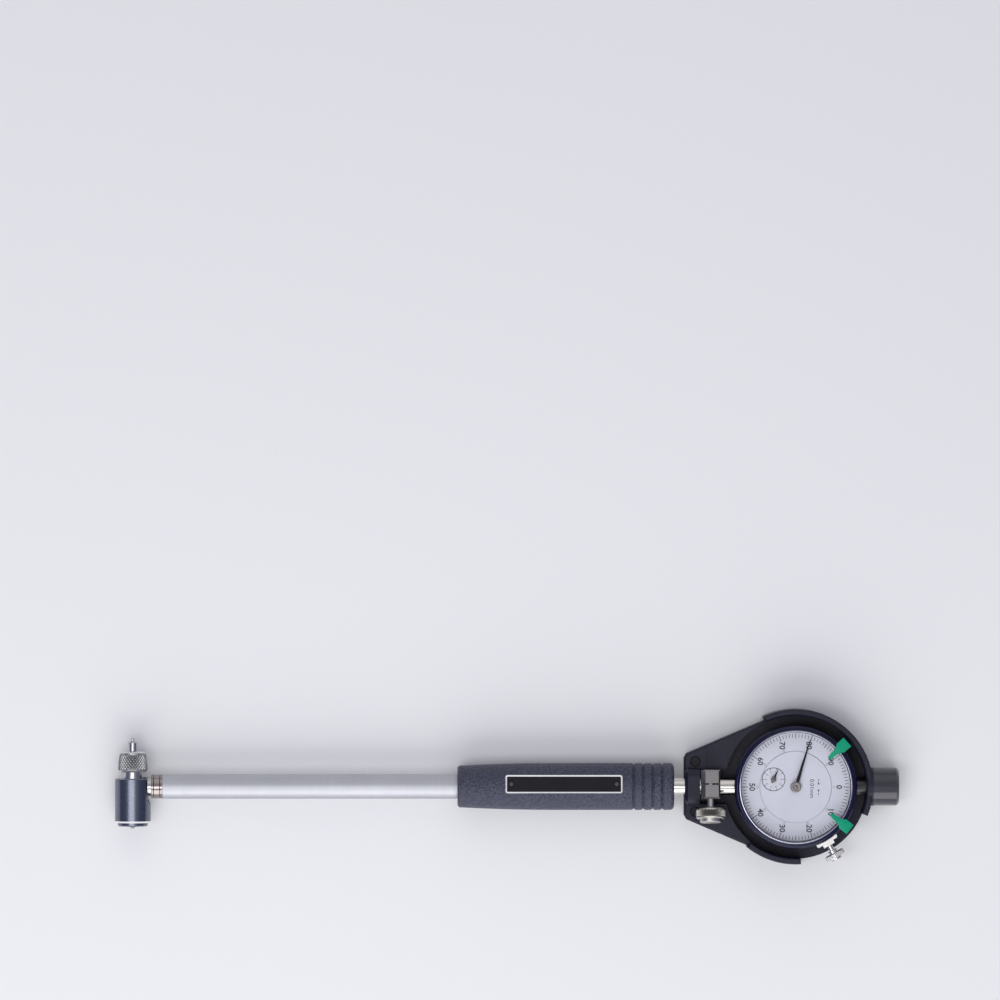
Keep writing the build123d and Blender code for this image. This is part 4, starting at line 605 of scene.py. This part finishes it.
# The neck ring, tube, shaft and indicator stem are chromed steel. The tube is satin and glued on
# the neck's spigot behind the grooved ring, the shaft and stem that follow the grip are polished.
ring_chrome = machined_metal(
    "ring_chrome", (0.27, 0.235, 0.23), (0.35, 0.31, 0.30), (0.13, 0.22), ALONG_X, 6000.0, 0.15, ROW_AXIS
)
tube_chrome = machined_metal(
    "tube_chrome", (0.51, 0.515, 0.555), (0.57, 0.575, 0.61), (0.50, 0.60), ALONG_X, 4000.0, 0.08, ROW_AXIS
)
shaft_chrome = machined_metal(
    "shaft_chrome", (0.58, 0.56, 0.54), (0.68, 0.66, 0.63), (0.12, 0.20), ALONG_X, 4000.0, 0.05, ROW_AXIS
)
dress(ring_chrome, "neck_ring")
dress(tube_chrome, "tube")
dress(shaft_chrome, "shaft", "stem")


# The grip is moulded over the tube in hard dark plastic with a pebbled face,
# four ring grooves at the rear and a flat seat for the plate.
WAVE_SHARE = 0.6


def moulded_grain_group():
    """Rounded pebbles of one size with softer waves between them, and a slow drift of shade."""
    group, given, result = new_group(
        "moulded_grain",
        "ShaderNodeTree",
        (
            ("Place", "NodeSocketVector", None),
            ("Grain", "NodeSocketFloat", 1500.0),
            ("Drift", "NodeSocketFloat", 40.0),
        ),
        (("Pebbles", "NodeSocketFloat"), ("Shade", "NodeSocketFloat")),
    )
    pebble = group.nodes.new("ShaderNodeTexVoronoi")
    pebble.feature = "SMOOTH_F1"
    pebble.inputs["Smoothness"].default_value = 0.4
    broader = figure(group, "MULTIPLY", given.outputs["Grain"], WAVE_SHARE)
    wave = clouds(group, given.outputs["Place"], broader, 2.0)
    upside = figure(group, "SUBTRACT", wave.outputs["Fac"], pebble.outputs["Distance"])
    drift = clouds(group, given.outputs["Place"], given.outputs["Drift"], 5.0)
    wire(
        group,
        (given.outputs["Place"], pebble.inputs["Vector"]),
        (given.outputs["Grain"], pebble.inputs["Scale"]),
        (upside, result.inputs["Pebbles"]),
        (drift.outputs["Fac"], result.inputs["Shade"]),
    )
    return group


MOULDED_GRAIN = moulded_grain_group()


def grained(name, grain, drift):
    """New material with the moulded grain wired to its place, and its parts."""
    made = bpy.data.materials.new(name)
    made.use_nodes = True
    tree = made.node_tree
    place = tree.nodes.new("ShaderNodeTexCoord")
    skin = tree.nodes.new("ShaderNodeGroup")
    skin.node_tree = MOULDED_GRAIN
    skin.inputs["Grain"].default_value = grain
    skin.inputs["Drift"].default_value = drift
    wire(tree, (place.outputs["Object"], skin.inputs["Place"]))
    return made, tree, tree.nodes["Principled BSDF"], skin.outputs["Pebbles"], skin.outputs["Shade"]


def moulded_plastic(name, dark, light, gloss, grain, strength, distance, axis=None, shine=0.5):
    """Moulded plastic with a spark-eroded grain, painted lighter on its tops and darker in its hollows as
    painted light and shade, shine is its specular level.
    """
    plastic, tree, shader, pebbles, shade = grained(name, grain, 40.0)
    shader.inputs["Specular IOR Level"].default_value = shine
    # Colour follows the pebbles' height: painted light on their tops and painted shade in the hollows
    # between them.
    grain_light_mask = ranged(tree, pebbles, 0.0, 1.0, -0.3, 0.35)
    wire(
        tree,
        (blended(tree, grain_light_mask, dark, light), shader.inputs["Base Color"]),
        (ranged(tree, shade, *gloss), shader.inputs["Roughness"]),
    )
    roughened(tree, pebbles, shader, strength, distance, axis)
    return plastic


grip_plastic = moulded_plastic(
    "grip_plastic", (0.026, 0.028, 0.050), (0.075, 0.078, 0.130), (0.40, 0.52), 1450.0, 0.8, 0.0005, ROW_AXIS
)
dress(grip_plastic, "grip")


# The plate is a pressed strip of bright aluminium with a raised frame, held by two dark rivets.
# Its sunk field is filled with smooth black enamel and carries no words.
bright_aluminium = machined_metal(
    "bright_aluminium", (0.88, 0.88, 0.89), (0.94, 0.94, 0.94), (0.46, 0.58), ALONG_Y, 4000.0, 0.1,
    None, 0.45,
)
dark_rivet = machined_metal("dark_rivet", (0.10, 0.105, 0.12), (0.14, 0.145, 0.16), (0.25, 0.38), ALL_WAYS)
dress(bright_aluminium, "name_plate")
dress(dark_rivet, "plate_rivets")
ROLL = radians(8.0)
FIELD_RISE = 9.55


def add_slab(shape, points, start, end):
    """Adds a slab of a closed outline between two heights, in millimetres."""
    face = shape.faces.new([shape.verts.new((x / 1000, y / 1000, start / 1000)) for x, y in points])
    raised = bmesh.ops.extrude_face_region(shape, geom=[face])
    lifted = [part for part in raised["geom"] if isinstance(part, bmesh.types.BMVert)]
    bmesh.ops.translate(shape, verts=lifted, vec=(0, 0, (end - start) / 1000))


def rounded_sheet(name, length, width, corner, thick, steps=4):
    """Flat sheet with round corners, lying on Z = 0, in millimetres."""
    rim = []
    for across, up, start in ((1, 1, 0), (-1, 1, 90), (-1, -1, 180), (1, -1, 270)):
        for step in range(steps + 1):
            turn = radians(start + 90 * step / steps)
            rim.append((
                across * (length / 2 - corner) + corner * cos(turn),
                up * (width / 2 - corner) + corner * sin(turn),
            ))
    shape = bmesh.new()
    add_slab(shape, rim, 0, thick)
    return as_mesh(name, shape, True)


def smooth_enamel(name, dark, light, gloss, shine, coat):
    """Paint with a faint unevenness of shade and gloss, shine is its specular level."""
    paint, tree, shader, pebbles, shade = grained(name, 700.0, 120.0)
    shader.inputs["Specular IOR Level"].default_value = shine
    shader.inputs["Coat Weight"].default_value = coat
    shader.inputs["Coat Roughness"].default_value = 0.06
    wire(
        tree,
        (blended(tree, shade, dark, light), shader.inputs["Base Color"]),
        (ranged(tree, shade, *gloss), shader.inputs["Roughness"]),
    )
    roughened(tree, pebbles, shader, 0.04, 0.00005)
    return paint


field_enamel = smooth_enamel(
    "field_enamel", (0.004, 0.004, 0.007), (0.009, 0.009, 0.013), (0.30, 0.42), 0.25, 0.0
)
plate_low, plate_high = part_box("name_plate")
field_place = Matrix.Translation((
    (plate_low.x + plate_high.x) / 2,
    FIELD_RISE / 1000 * sin(ROLL),
    AXIS_Z + FIELD_RISE / 1000 * cos(ROLL),
)) @ Matrix.Rotation(-ROLL, 4, "X")
field_mesh = rounded_sheet("plate_field", 52.9, 7.1, 0.4, 0.05)
field_mesh.materials.append(field_enamel)
plate_field = piece("plate_field", field_mesh, field_place)
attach(plate_field, "gauge")


# The stem clamp is a split block of nickel-plated brass on the end of the shaft, a little dull.
# Its thumb screw has a finely knurled head with a cone behind it and a plain cap in front.
dull_nickel = machined_metal(
    "dull_nickel", (0.27, 0.257, 0.265), (0.34, 0.323, 0.33), (0.34, 0.46), ALONG_Y, 5000.0, 0.1
)
# The thumb screw's knurl valleys get painted shade.
nickel = knurled_metal(
    "nickel", (0.10, 0.095, 0.09), (0.50, 0.48, 0.45), (0.60, 0.58, 0.54), (0.30, 0.38)
)
dress(dull_nickel, "stem_clamp", "movement_plate")
thumb_outline = (
    (-6.35, 0.0), (-6.35, 1.5), (-6.1, 1.7), (10.15, 1.7), (10.15, 2.6), (11.25, 5.95), (11.75, 6.75),
    (12.0, 6.49), (15.2, 6.49), (15.45, 6.85), (15.95, 6.3), (15.95, 5.05), (17.4, 5.05), (17.75, 4.6),
    (17.75, 0.0),
)
thumb_knurl = grown(DIAMOND_KNURL, {
    "Radius": 0.00653, "Crown": 0.0, "Start": 0.01205, "Row": 0.00042, "Depth": 0.00040,
    "Around": 50, "Rows": 7, "Finish": nickel,
})
thumb = turning["clamp_screw_turn"]
thumb_place = axle(thumb["pos_m"], thumb["axis"])
thumb_body = crested(turned("thumb_body", thumb_outline))
clamp_screw = assembled("knurled_clamp_screw", nickel, thumb_place, thumb_knurl, thumb_body)
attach(clamp_screw, "clamp_screw")
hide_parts("clamp_screw")


# The indicator's case, back and spindle cap are cast metal in gloss black lacquer.
# Four sunk screws close the back.
case_lacquer = smooth_enamel(
    "case_lacquer", (0.008, 0.009, 0.014), (0.014, 0.015, 0.022), (0.24, 0.36), 0.5, 0.3
)
dress(case_lacquer, "indicator_case", "case_back", "spindle_cap")


# The dial is printed metal: a fixed centre with the small turn counter,
# and a scale ring that turns with the bezel. A hundred marks go round the ring.
def printed_face(name, dark, light, rough):
    """Matt print, a little uneven."""
    face, tree, shader, pebbles, shade = grained(name, 5000.0, 150.0)
    wire(
        tree,
        (blended(tree, shade, dark, light), shader.inputs["Base Color"]),
        (ranged(tree, pebbles, rough + 0.1, rough, -0.2, 0.4), shader.inputs["Roughness"]),
    )
    roughened(tree, pebbles, shader, 0.05, 0.00003)
    return face


dial_white = printed_face("dial_white", (0.462, 0.457, 0.515), (0.51, 0.505, 0.565), 0.45)
ink_black = printed_face("ink_black", (0.012, 0.012, 0.015), (0.022, 0.022, 0.026), 0.40)
ink_grey = printed_face("ink_grey", (0.24, 0.24, 0.26), (0.31, 0.31, 0.33), 0.45)
dress(dial_white, "dial_centre", "scale_ring")
DIAL = Vector(turning["bezel_turn"]["pos_m"])
RING_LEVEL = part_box("scale_ring")[1].z
CENTRE_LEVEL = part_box("dial_centre")[1].z
INK = 0.00003


def scale_marks_tree():
    """Printed marks round a circle, with every so many left out for longer ones, or none for 0."""
    tree, given, result = new_group(
        "scale_marks",
        "GeometryNodeTree",
        (
            ("Radius", "NodeSocketFloat", 0.02),
            ("Length", "NodeSocketFloat", 0.001),
            ("Width", "NodeSocketFloat", 0.0002),
            ("Ink", "NodeSocketFloat", INK),
            ("Count", "NodeSocketInt", 100),
            ("Left out", "NodeSocketInt", 0),
            ("Finish", "NodeSocketMaterial", None),
        ),
        (("Geometry", "NodeSocketGeometry"),),
    )
    circle = tree.nodes.new("GeometryNodeMeshCircle")
    index = tree.nodes.new("GeometryNodeInputIndex").outputs[0]
    left_out = given.outputs["Left out"]
    share = figure(tree, "MODULO", index, figure(tree, "MAXIMUM", left_out, 1.0))
    kept = figure(tree, "ADD", share, figure(tree, "LESS_THAN", left_out, 0.5))
    longer = tree.nodes.new("FunctionNodeCompare")
    longer.data_type = "FLOAT"
    longer.operation = "LESS_THAN"
    longer.inputs["B"].default_value = 0.5
    thinned = tree.nodes.new("GeometryNodeDeleteGeometry")
    thinned.domain = "POINT"
    size = tree.nodes.new("ShaderNodeCombineXYZ")
    mark = tree.nodes.new("GeometryNodeMeshCube")
    position = tree.nodes.new("GeometryNodeInputPosition")
    outward = tree.nodes.new("FunctionNodeAlignRotationToVector")
    outward.axis = "X"
    outward.pivot_axis = "Z"
    set_out = tree.nodes.new("GeometryNodeInstanceOnPoints")
    wire(
        tree,
        (given.outputs["Count"], circle.inputs["Vertices"]),
        (given.outputs["Radius"], circle.inputs["Radius"]),
        (kept, longer.inputs["A"]),
        (circle.outputs["Mesh"], thinned.inputs["Geometry"]),
        (longer.outputs["Result"], thinned.inputs["Selection"]),
        (given.outputs["Length"], size.inputs["X"]),
        (given.outputs["Width"], size.inputs["Y"]),
        (given.outputs["Ink"], size.inputs["Z"]),
        (size.outputs["Vector"], mark.inputs["Size"]),
        (position.outputs[0], outward.inputs["Vector"]),
        (thinned.outputs["Geometry"], set_out.inputs["Points"]),
        (mark.outputs["Mesh"], set_out.inputs["Instance"]),
        (outward.outputs["Rotation"], set_out.inputs["Rotation"]),
    )
    coated(tree, given, result, set_out.outputs["Instances"])
    return tree


SCALE_MARKS = scale_marks_tree()


def marks(inner, outer, width, count, left_out, finish):
    """Marks between two radii, in millimetres."""
    return grown(SCALE_MARKS, {
        "Radius": (inner + outer) / 2000, "Length": (outer - inner) / 1000, "Width": width / 1000,
        "Ink": INK, "Count": count, "Left out": left_out, "Finish": finish,
    })


def figures(words, height, slim, place, weight=0.02):
    """Printed figures as a mesh, their middle at a place and their top towards +X."""
    letters = bpy.data.curves.new("figures", "FONT")
    letters.body = words
    letters.size = 1.0
    letters.align_x = "CENTER"
    letters.align_y = "CENTER"
    letters.resolution_u = 3
    letters.extrude = 0.5
    letters.offset = weight
    holder = bpy.data.objects.new("figures", letters)
    bpy.context.scene.collection.objects.link(holder)
    mesh = bpy.data.meshes.new_from_object(holder.evaluated_get(bpy.context.evaluated_depsgraph_get()))
    bpy.data.objects.remove(holder)
    across, up = [[point.co[axis] for point in mesh.vertices] for axis in (0, 1)]
    low = Vector((min(across), min(up), 0))
    high = Vector((max(across), max(up), 0))
    scale = height / 1000 / (high.y - low.y)
    mesh.transform(Matrix.Translation(-(low + high) / 2))
    mesh.transform(Matrix.Diagonal((scale * slim, scale, INK, 1)))
    mesh.transform(Matrix.Rotation(-pi / 2, 4, "Z"))
    mesh.transform(Matrix.Translation(place))
    return mesh


def round_dial(radius, angle, centre=(0.0, 0.0)):
    """Place on the dial at a radius in millimetres and an angle in degrees."""
    turn = radians(angle)
    return Vector(((centre[0] + radius * cos(turn)) / 1000, (centre[1] + radius * sin(turn)) / 1000, 0))


ring_place = Matrix.Translation((DIAL.x, DIAL.y, RING_LEVEL))
ring_print = [
    marks(22.9, 24.6, 0.26, 100, 5, ink_black),
    marks(22.5, 24.8, 0.30, 20, 2, ink_black),
    marks(22.2, 25.0, 0.34, 10, 0, ink_black),
]
for tens in range(10):
    ring_print.append(figures(str(10 * tens), 2.75, 1.02, round_dial(20.2, -36 * tens), 0.025))
scale_print = assembled("scale_print", ink_black, ring_place, *ring_print)
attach(scale_print, "bezel")
small_print = [
    figures(str((100 - 10 * tens) % 100), 1.25, 0.95, round_dial(17.75, -36 * tens)) for tens in range(10)
]
reverse_print = assembled("reverse_print", ink_grey, ring_place, *small_print)
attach(reverse_print, "bezel")

centre_place = Matrix.Translation((DIAL.x, DIAL.y, CENTRE_LEVEL))
counter_pos = turning["counter_turn"]["pos_m"]
COUNTER = ((counter_pos[0] - DIAL.x) * 1000, (counter_pos[1] - DIAL.y) * 1000)


def printed_ring(radius, width, centre):
    """Thin printed circle, in millimetres."""
    half = INK * 500
    outline = ((-half, radius), (-half, radius + width), (half, radius + width), (half, radius))
    mesh = turned("printed_ring", outline, 0.0, 72)
    mesh.transform(Matrix.Translation((centre[0] / 1000, centre[1] / 1000, 0)))
    return mesh


def way_signs(x):
    """Two printed triangles pointing away from the middle, each with a bar beyond its point."""
    shape = bmesh.new()
    for way in (1, -1):
        for points in (
            ((x - 0.5, 1.2), (x + 0.5, 1.2), (x, 2.55)),
            ((x - 0.16, 2.8), (x + 0.16, 2.8), (x + 0.16, 3.7), (x - 0.16, 3.7)),
        ):
            corners = [shape.verts.new((a / 1000, way * b / 1000, INK / 2)) for a, b in points]
            shape.faces.new(corners[::way])
    return as_mesh("way_signs", shape)


counter_marks = marks(4.4, 5.25, 0.26, 10, 0, ink_black)
counter_marks.transform(Matrix.Translation((COUNTER[0] / 1000, COUNTER[1] / 1000, 0)))
fixed_print = [
    printed_ring(5.15, 0.34, COUNTER),
    counter_marks,
    figures("0.01mm", 1.95, 1.0, round_dial(0, 0, (7.6, -0.7)), 0.005),
    way_signs(10.6),
]
for turns in range(10):
    fixed_print.append(figures(str(turns), 0.95, 0.9, round_dial(3.6, 36 * turns, COUNTER), 0.01))
centre_print = assembled("centre_print", ink_black, centre_place, *fixed_print)
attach(centre_print, "gauge")


# The hands are stamped and lacquered black. Each has a turned hub with a dark brown-grey plate,
# pressed on the end of its arbor.
hand_lacquer = smooth_enamel(
    "hand_lacquer", (0.004, 0.004, 0.005), (0.008, 0.008, 0.009), (0.30, 0.45), 0.1, 0.0
)
hub_plate = machined_metal("hub_plate", (0.12, 0.105, 0.105), (0.21, 0.19, 0.19), (0.30, 0.46), ALL_WAYS)
counter_plate = machined_metal(
    "counter_plate", (0.06, 0.055, 0.06), (0.11, 0.10, 0.10), (0.30, 0.44), ALL_WAYS
)
dress(hand_lacquer, "main_hand", "counter_hand")
hub_outline = (
    (-0.55, 0.75), (-0.55, 2.44), (0.06, 2.44), (0.2, 2.2), (0.2, 1.25), (0.12, 1.15), (0.12, 0.85),
    (0.3, 0.65), (0.3, 0.0), (-0.05, 0.0), (-0.05, 0.75),
)
hub_place = Matrix.Translation((DIAL.x, DIAL.y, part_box("main_hand")[1].z))
hand_hub = assembled("hand_hub", hub_plate, hub_place, turned("hub_body", hub_outline, 0.05, 64))
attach(hand_hub, "hand")
cap_outline = ((-0.15, 0.65), (-0.15, 1.28), (0.06, 1.28), (0.16, 1.1), (0.16, 0.0), (0.1, 0.0), (0.1, 0.65))
cap_place = Matrix.Translation((counter_pos[0], counter_pos[1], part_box("counter_hand")[1].z))
cap_body = turned("counter_cap", cap_outline, 0.04, 48)
counter_hub = assembled("counter_hub", counter_plate, cap_place, cap_body)
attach(counter_hub, "counter")


# The bezel is turned aluminium in gloss navy-black, with fine straight ribs round its rim
# to turn it by. A thin polished ring is snapped in on top and holds the crystal.
def rim_ribs_tree():
    """Rounded ribs round a cylinder along Z."""
    tree, given, result = new_group(
        "rim_ribs",
        "GeometryNodeTree",
        (
            ("Radius", "NodeSocketFloat", 0.028),
            ("Length", "NodeSocketFloat", 0.005),
            ("Thickness", "NodeSocketFloat", 0.0004),
            ("Count", "NodeSocketInt", 140),
            ("Finish", "NodeSocketMaterial", None),
        ),
        (("Geometry", "NodeSocketGeometry"),),
    )
    circle = tree.nodes.new("GeometryNodeMeshCircle")
    rib = tree.nodes.new("GeometryNodeMeshCylinder")
    rib.inputs["Vertices"].default_value = 8
    set_out = tree.nodes.new("GeometryNodeInstanceOnPoints")
    wire(
        tree,
        (given.outputs["Count"], circle.inputs["Vertices"]),
        (given.outputs["Radius"], circle.inputs["Radius"]),
        (given.outputs["Thickness"], rib.inputs["Radius"]),
        (given.outputs["Length"], rib.inputs["Depth"]),
        (circle.outputs["Mesh"], set_out.inputs["Points"]),
        (rib.outputs["Mesh"], set_out.inputs["Instance"]),
    )
    coated(tree, given, result, set_out.outputs["Instances"])
    return tree


RIM_RIBS = rim_ribs_tree()
RIB_ANGLE = 50.0
navy_lacquer = smooth_enamel(
    "navy_lacquer", (0.003, 0.0035, 0.024), (0.005, 0.006, 0.036), (0.16, 0.26), 0.2, 0.1
)
bezel_outline = (
    (4.4, 26.45), (4.4, 28.1), (4.8, 28.45), (5.3, 28.45), (5.5, 28.2), (10.2, 28.2), (10.4, 28.45),
    (10.8, 28.45), (11.5, 28.0), (11.85, 27.3), (11.85, 26.95), (12.15, 26.8), (12.4, 26.45),
    (12.3, 26.1), (11.9, 25.92), (10.6, 25.92), (10.6, 25.2), (10.1, 25.2), (10.1, 25.6), (7.2, 25.6),
    (7.2, 24.4), (6.35, 24.4), (6.35, 26.45),
)
bezel_ribs = grown(RIM_RIBS, {
    "Radius": 0.02812, "Length": 0.0046, "Thickness": 0.00036, "Count": 150, "Finish": navy_lacquer,
})
bezel_ribs.transform(Matrix.Translation((0, 0, 0.00785)))
bezel_body = turned("bezel_body", bezel_outline, 0.12, 180)
dial_place = Matrix.Translation(DIAL)
bezel = assembled("ribbed_bezel", navy_lacquer, dial_place, bezel_body, soft_shaded(bezel_ribs, RIB_ANGLE))
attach(bezel, "bezel")
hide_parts("bezel")
ring_polish = machined_metal("ring_polish", (0.36, 0.37, 0.46), (0.43, 0.44, 0.53), (0.12, 0.20), ALL_WAYS)
snap_outline = (
    (12.41, 25.97), (12.51, 25.6), (12.62, 25.6), (12.69, 25.82), (12.64, 26.1), (12.5, 26.28),
    (12.42, 26.28),
)
snap_ring = turned("snap_ring", snap_outline, 0.05, 180)
crystal_ring = assembled("crystal_ring", ring_polish, dial_place, snap_ring)
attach(crystal_ring, "bezel")


# The crystal is a clear disc of acrylic, moulded and polished all over.
# It is pressed into the bezel under the thin ring.
crystal_clear = bpy.data.materials.new("crystal_clear")
crystal_clear.use_nodes = True
crystal_tree = crystal_clear.node_tree
crystal_shader = crystal_tree.nodes["Principled BSDF"]
crystal_shader.inputs["Base Color"].default_value = (0.97, 0.98, 1.0, 1.0)
crystal_shader.inputs["Metallic"].default_value = 0.0
crystal_shader.inputs["Roughness"].default_value = 0.02
crystal_shader.inputs["IOR"].default_value = 1.2
crystal_shader.inputs["Transmission Weight"].default_value = 1.0
lamp_path = crystal_tree.nodes.new("ShaderNodeLightPath")
lamp_pass = crystal_tree.nodes.new("ShaderNodeBsdfTransparent")
lamp_mix = crystal_tree.nodes.new("ShaderNodeMixShader")
wire(
    crystal_tree,
    (lamp_path.outputs["Is Shadow Ray"], lamp_mix.inputs["Fac"]),
    (crystal_shader.outputs["BSDF"], lamp_mix.inputs[1]),
    (lamp_pass.outputs["BSDF"], lamp_mix.inputs[2]),
    (lamp_mix.outputs["Shader"], crystal_tree.nodes["Material Output"].inputs["Surface"]),
)
dress(crystal_clear, "crystal")


# The limit markers are two clips of green plastic that snap round the bezel's rim,
# each with a pointer over the scale and a tab for the finger.
CLIP_EDGE, CLIP_THICK = 0.00018, 0.8


def marker_shape(name, low, plate, high, angle):
    """Clip with its pointer towards the dial's middle, edges rounded, in millimetres."""
    shape = bmesh.new()
    half = ((20.25, 0.8), (26.1, 1.55), (27.3, 2.65), (31.75, 2.65))
    pointer = [(x, -y) for x, y in half] + [(x, y) for x, y in reversed(half)]
    tab = ((28.75, -2.6), (31.7, -2.6), (31.7, 2.6), (28.75, 2.6))
    for points, start, end in ((pointer, plate, high), (tab, low, plate + 0.02)):
        add_slab(shape, points, start, end)
    bmesh.ops.recalc_face_normals(shape, faces=shape.faces)
    bmesh.ops.bevel(shape, geom=shape.edges[:], offset=CLIP_EDGE, segments=2, affect="EDGES", profile=0.6)
    mesh = as_mesh(name, shape)
    mesh.transform(dial_place @ Matrix.Rotation(radians(angle), 4, "Z"))
    return soft_shaded(mesh)


marker_green = moulded_plastic(
    "marker_green", (0.004, 0.300, 0.165), (0.008, 0.370, 0.210), (0.30, 0.42), 2500.0, 0.06, 0.0001,
    None, 0.15,
)
for body, node, angle in (("marker_a", "limit_marker_a", 41.5), ("marker_b", "limit_marker_b", -38.0)):
    marker_low, marker_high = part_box(node)
    top = (marker_high.z - DIAL.z) * 1000
    bottom = (marker_low.z - DIAL.z) * 1000
    clip_mesh = marker_shape(f"{node}_clip", bottom, top - CLIP_THICK, top, angle)
    clip_mesh.materials.append(marker_green)
    clip = piece(f"{node}_clip", clip_mesh)
    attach(clip, body)
    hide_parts(node)


# The bezel clamp is a bright nickel-plated screw in the shoe beside the bezel.
# Its head is a thin disc with a straight knurl and a plain hub on either side.
bright_nickel = machined_metal(
    "bright_nickel", (0.62, 0.60, 0.59), (0.76, 0.74, 0.73), (0.18, 0.30), ALL_WAYS
)
dress(bright_nickel, "bezel_clamp_shoe")
screw_outline = (
    (28.55, 0.0), (28.55, 1.1), (28.75, 1.3), (34.0, 1.3), (34.0, 2.3), (35.4, 2.3), (35.4, 4.3),
    (35.7, 4.55), (37.5, 4.55), (37.8, 4.3), (37.8, 2.7), (38.55, 2.7), (38.9, 2.35), (38.9, 0.0),
)
screw_ribs = grown(RIM_RIBS, {
    "Radius": 0.00448, "Length": 0.0017, "Thickness": 0.00030, "Count": 40, "Finish": bright_nickel,
})
screw_ribs.transform(Matrix.Translation((0, 0, 0.0366)))
screw_body = turned("screw_body", screw_outline, 0.1, 64)
small = turning["bezel_clamp_turn"]
small_place = axle(small["pos_m"], small["axis"])
bezel_screw = assembled(
    "knurled_bezel_screw", bright_nickel, small_place, screw_body, soft_shaded(screw_ribs, RIB_ANGLE)
)
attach(bezel_screw, "bezel_clamp_screw")
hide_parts("bezel_clamp_screw")


# The guard is one moulding of black plastic with a fine matt grain and a polished end tube,
# closed over the shaft by a cap with two blackened screws.
guard_plastic = moulded_plastic(
    "guard_plastic", (0.007, 0.007, 0.018), (0.016, 0.0155, 0.037), (0.34, 0.48), 2600.0, 0.25, 0.00015,
    None, 0.3,
)
END_TUBE, END_BLEND = 0.0119, 0.0003
end_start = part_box("dial_guard")[1].x - END_TUBE
guard_tree = guard_plastic.node_tree
guard_shader = guard_tree.nodes["Principled BSDF"]
guard_shader.inputs["Coat Roughness"].default_value = 0.14
end_polish = ranged(guard_tree, along_axis(guard_tree, "X"), 0.0, 1.0, end_start, end_start + END_BLEND)
wire(guard_tree, (end_polish, guard_shader.inputs["Coat Weight"]))
blackened = machined_metal("blackened", (0.010, 0.010, 0.012), (0.020, 0.020, 0.023), (0.20, 0.32), ALL_WAYS)
dress(guard_plastic, "dial_guard", "guard_cap")
dress(blackened, "guard_screws")


# Plain pale floor, a soft light from the near side and one above the head, with dark ends
# to left and right that the head's sides mirror. The camera is straight above.
FLOOR_HALF, FLOOR_LEVEL = 3.0, -0.0002
floor_mesh = bpy.data.meshes.new("floor")
floor_ways = ((-1, -1), (1, -1), (1, 1), (-1, 1))
floor_corners = [(x * FLOOR_HALF, y * FLOOR_HALF, FLOOR_LEVEL) for x, y in floor_ways]
floor_mesh.from_pydata(floor_corners, [], [(0, 1, 2, 3)])
floor_paper = bpy.data.materials.new("floor_paper")
floor_paper.use_nodes = True
paper_tree = floor_paper.node_tree
paper_shader = paper_tree.nodes["Principled BSDF"]
paper_shader.inputs["Roughness"].default_value = 0.85
paper_shader.inputs["Specular IOR Level"].default_value = 0.2
paper_cloud = paper_tree.nodes.new("ShaderNodeTexNoise")
paper_cloud.inputs["Scale"].default_value = 14.0
paper_shade = blended(paper_tree, paper_cloud.outputs["Fac"], (0.89, 0.89, 0.895), (0.91, 0.91, 0.915))
wire(paper_tree, (paper_shade, paper_shader.inputs["Base Color"]))
floor_mesh.materials.append(floor_paper)
floor = piece("floor", floor_mesh)

sky = bpy.data.worlds.new("studio")
bpy.context.scene.world = sky
sky.use_nodes = True
sky_tree = sky.node_tree
sky_place = sky_tree.nodes.new("ShaderNodeTexCoord")
sky_height = sky_tree.nodes.new("ShaderNodeSeparateXYZ")
sky_ramp = sky_tree.nodes.new("ShaderNodeValToRGB")
sky_bands = sky_ramp.color_ramp.elements
sky_bands[0].position = 0.0
sky_bands[0].color = (0.34, 0.34, 0.37, 1.0)
sky_bands[1].position = 1.0
sky_bands[1].color = (0.50, 0.50, 0.53, 1.0)
for height, level in ((0.28, 0.90), (0.72, 1.0), (0.93, 0.55)):
    sky_bands.new(height).color = (level, level, min(1.0, 1.03 * level), 1.0)
sky_light = sky_tree.nodes.new("ShaderNodeVectorMath")
sky_light.operation = "MULTIPLY"
wire(
    sky_tree,
    (sky_place.outputs["Generated"], sky_height.inputs["Vector"]),
    (sky_height.outputs["Z"], sky_ramp.inputs["Fac"]),
    (sky_ramp.outputs["Color"], sky_light.inputs[0]),
    (sky_light.outputs["Vector"], sky_tree.nodes["Background"].inputs["Color"]),
)
sky_side = figure(sky_tree, "ABSOLUTE", sky_height.outputs["X"])
sky_ends = ranged(sky_tree, sky_side, 0.0, 1.0, 0.25, 0.70)
wire(sky_tree, (blended(sky_tree, sky_ends, (1.0, 1.0, 1.0), (0.20, 0.22, 0.34)), sky_light.inputs[1]))
sky_tree.nodes["Background"].inputs["Strength"].default_value = 0.95


def softbox(name, place, aim, width, depth, power):
    """Large soft lamp turned towards a place."""
    lamp = bpy.data.lights.new(name, "AREA")
    lamp.shape = "RECTANGLE"
    lamp.size = width
    lamp.size_y = depth
    lamp.energy = power
    held = bpy.data.objects.new(name, lamp)
    held.location = place
    held.rotation_mode = "QUATERNION"
    held.rotation_quaternion = (Vector(aim) - Vector(place)).to_track_quat("-Z", "Y")
    bpy.context.scene.collection.objects.link(held)


softbox("near_softbox", (-0.1, -1.55, 1.0), (0, 0, 0), 2.2, 1.5, 18.4)
softbox("head_softbox", (-0.36, -0.25, 1.5), (-0.36, -0.2499, 0), 1.0, 0.5, 5.3)
bpy.context.scene.view_settings.view_transform = "Standard"

VIEW_WIDTH, CAMERA_HEIGHT, SENSOR = 0.465, 4.2, 36.0
lens = bpy.data.cameras.new("camera")
lens.sensor_width = SENSOR
lens.lens = SENSOR * (CAMERA_HEIGHT - AXIS_Z) / VIEW_WIDTH
lens.clip_start, lens.clip_end = 0.05, 20.0
camera = bpy.data.objects.new("camera", lens)
camera.location = (-0.0031, 0.1332, CAMERA_HEIGHT)
bpy.context.scene.collection.objects.link(camera)
bpy.context.scene.camera = camera
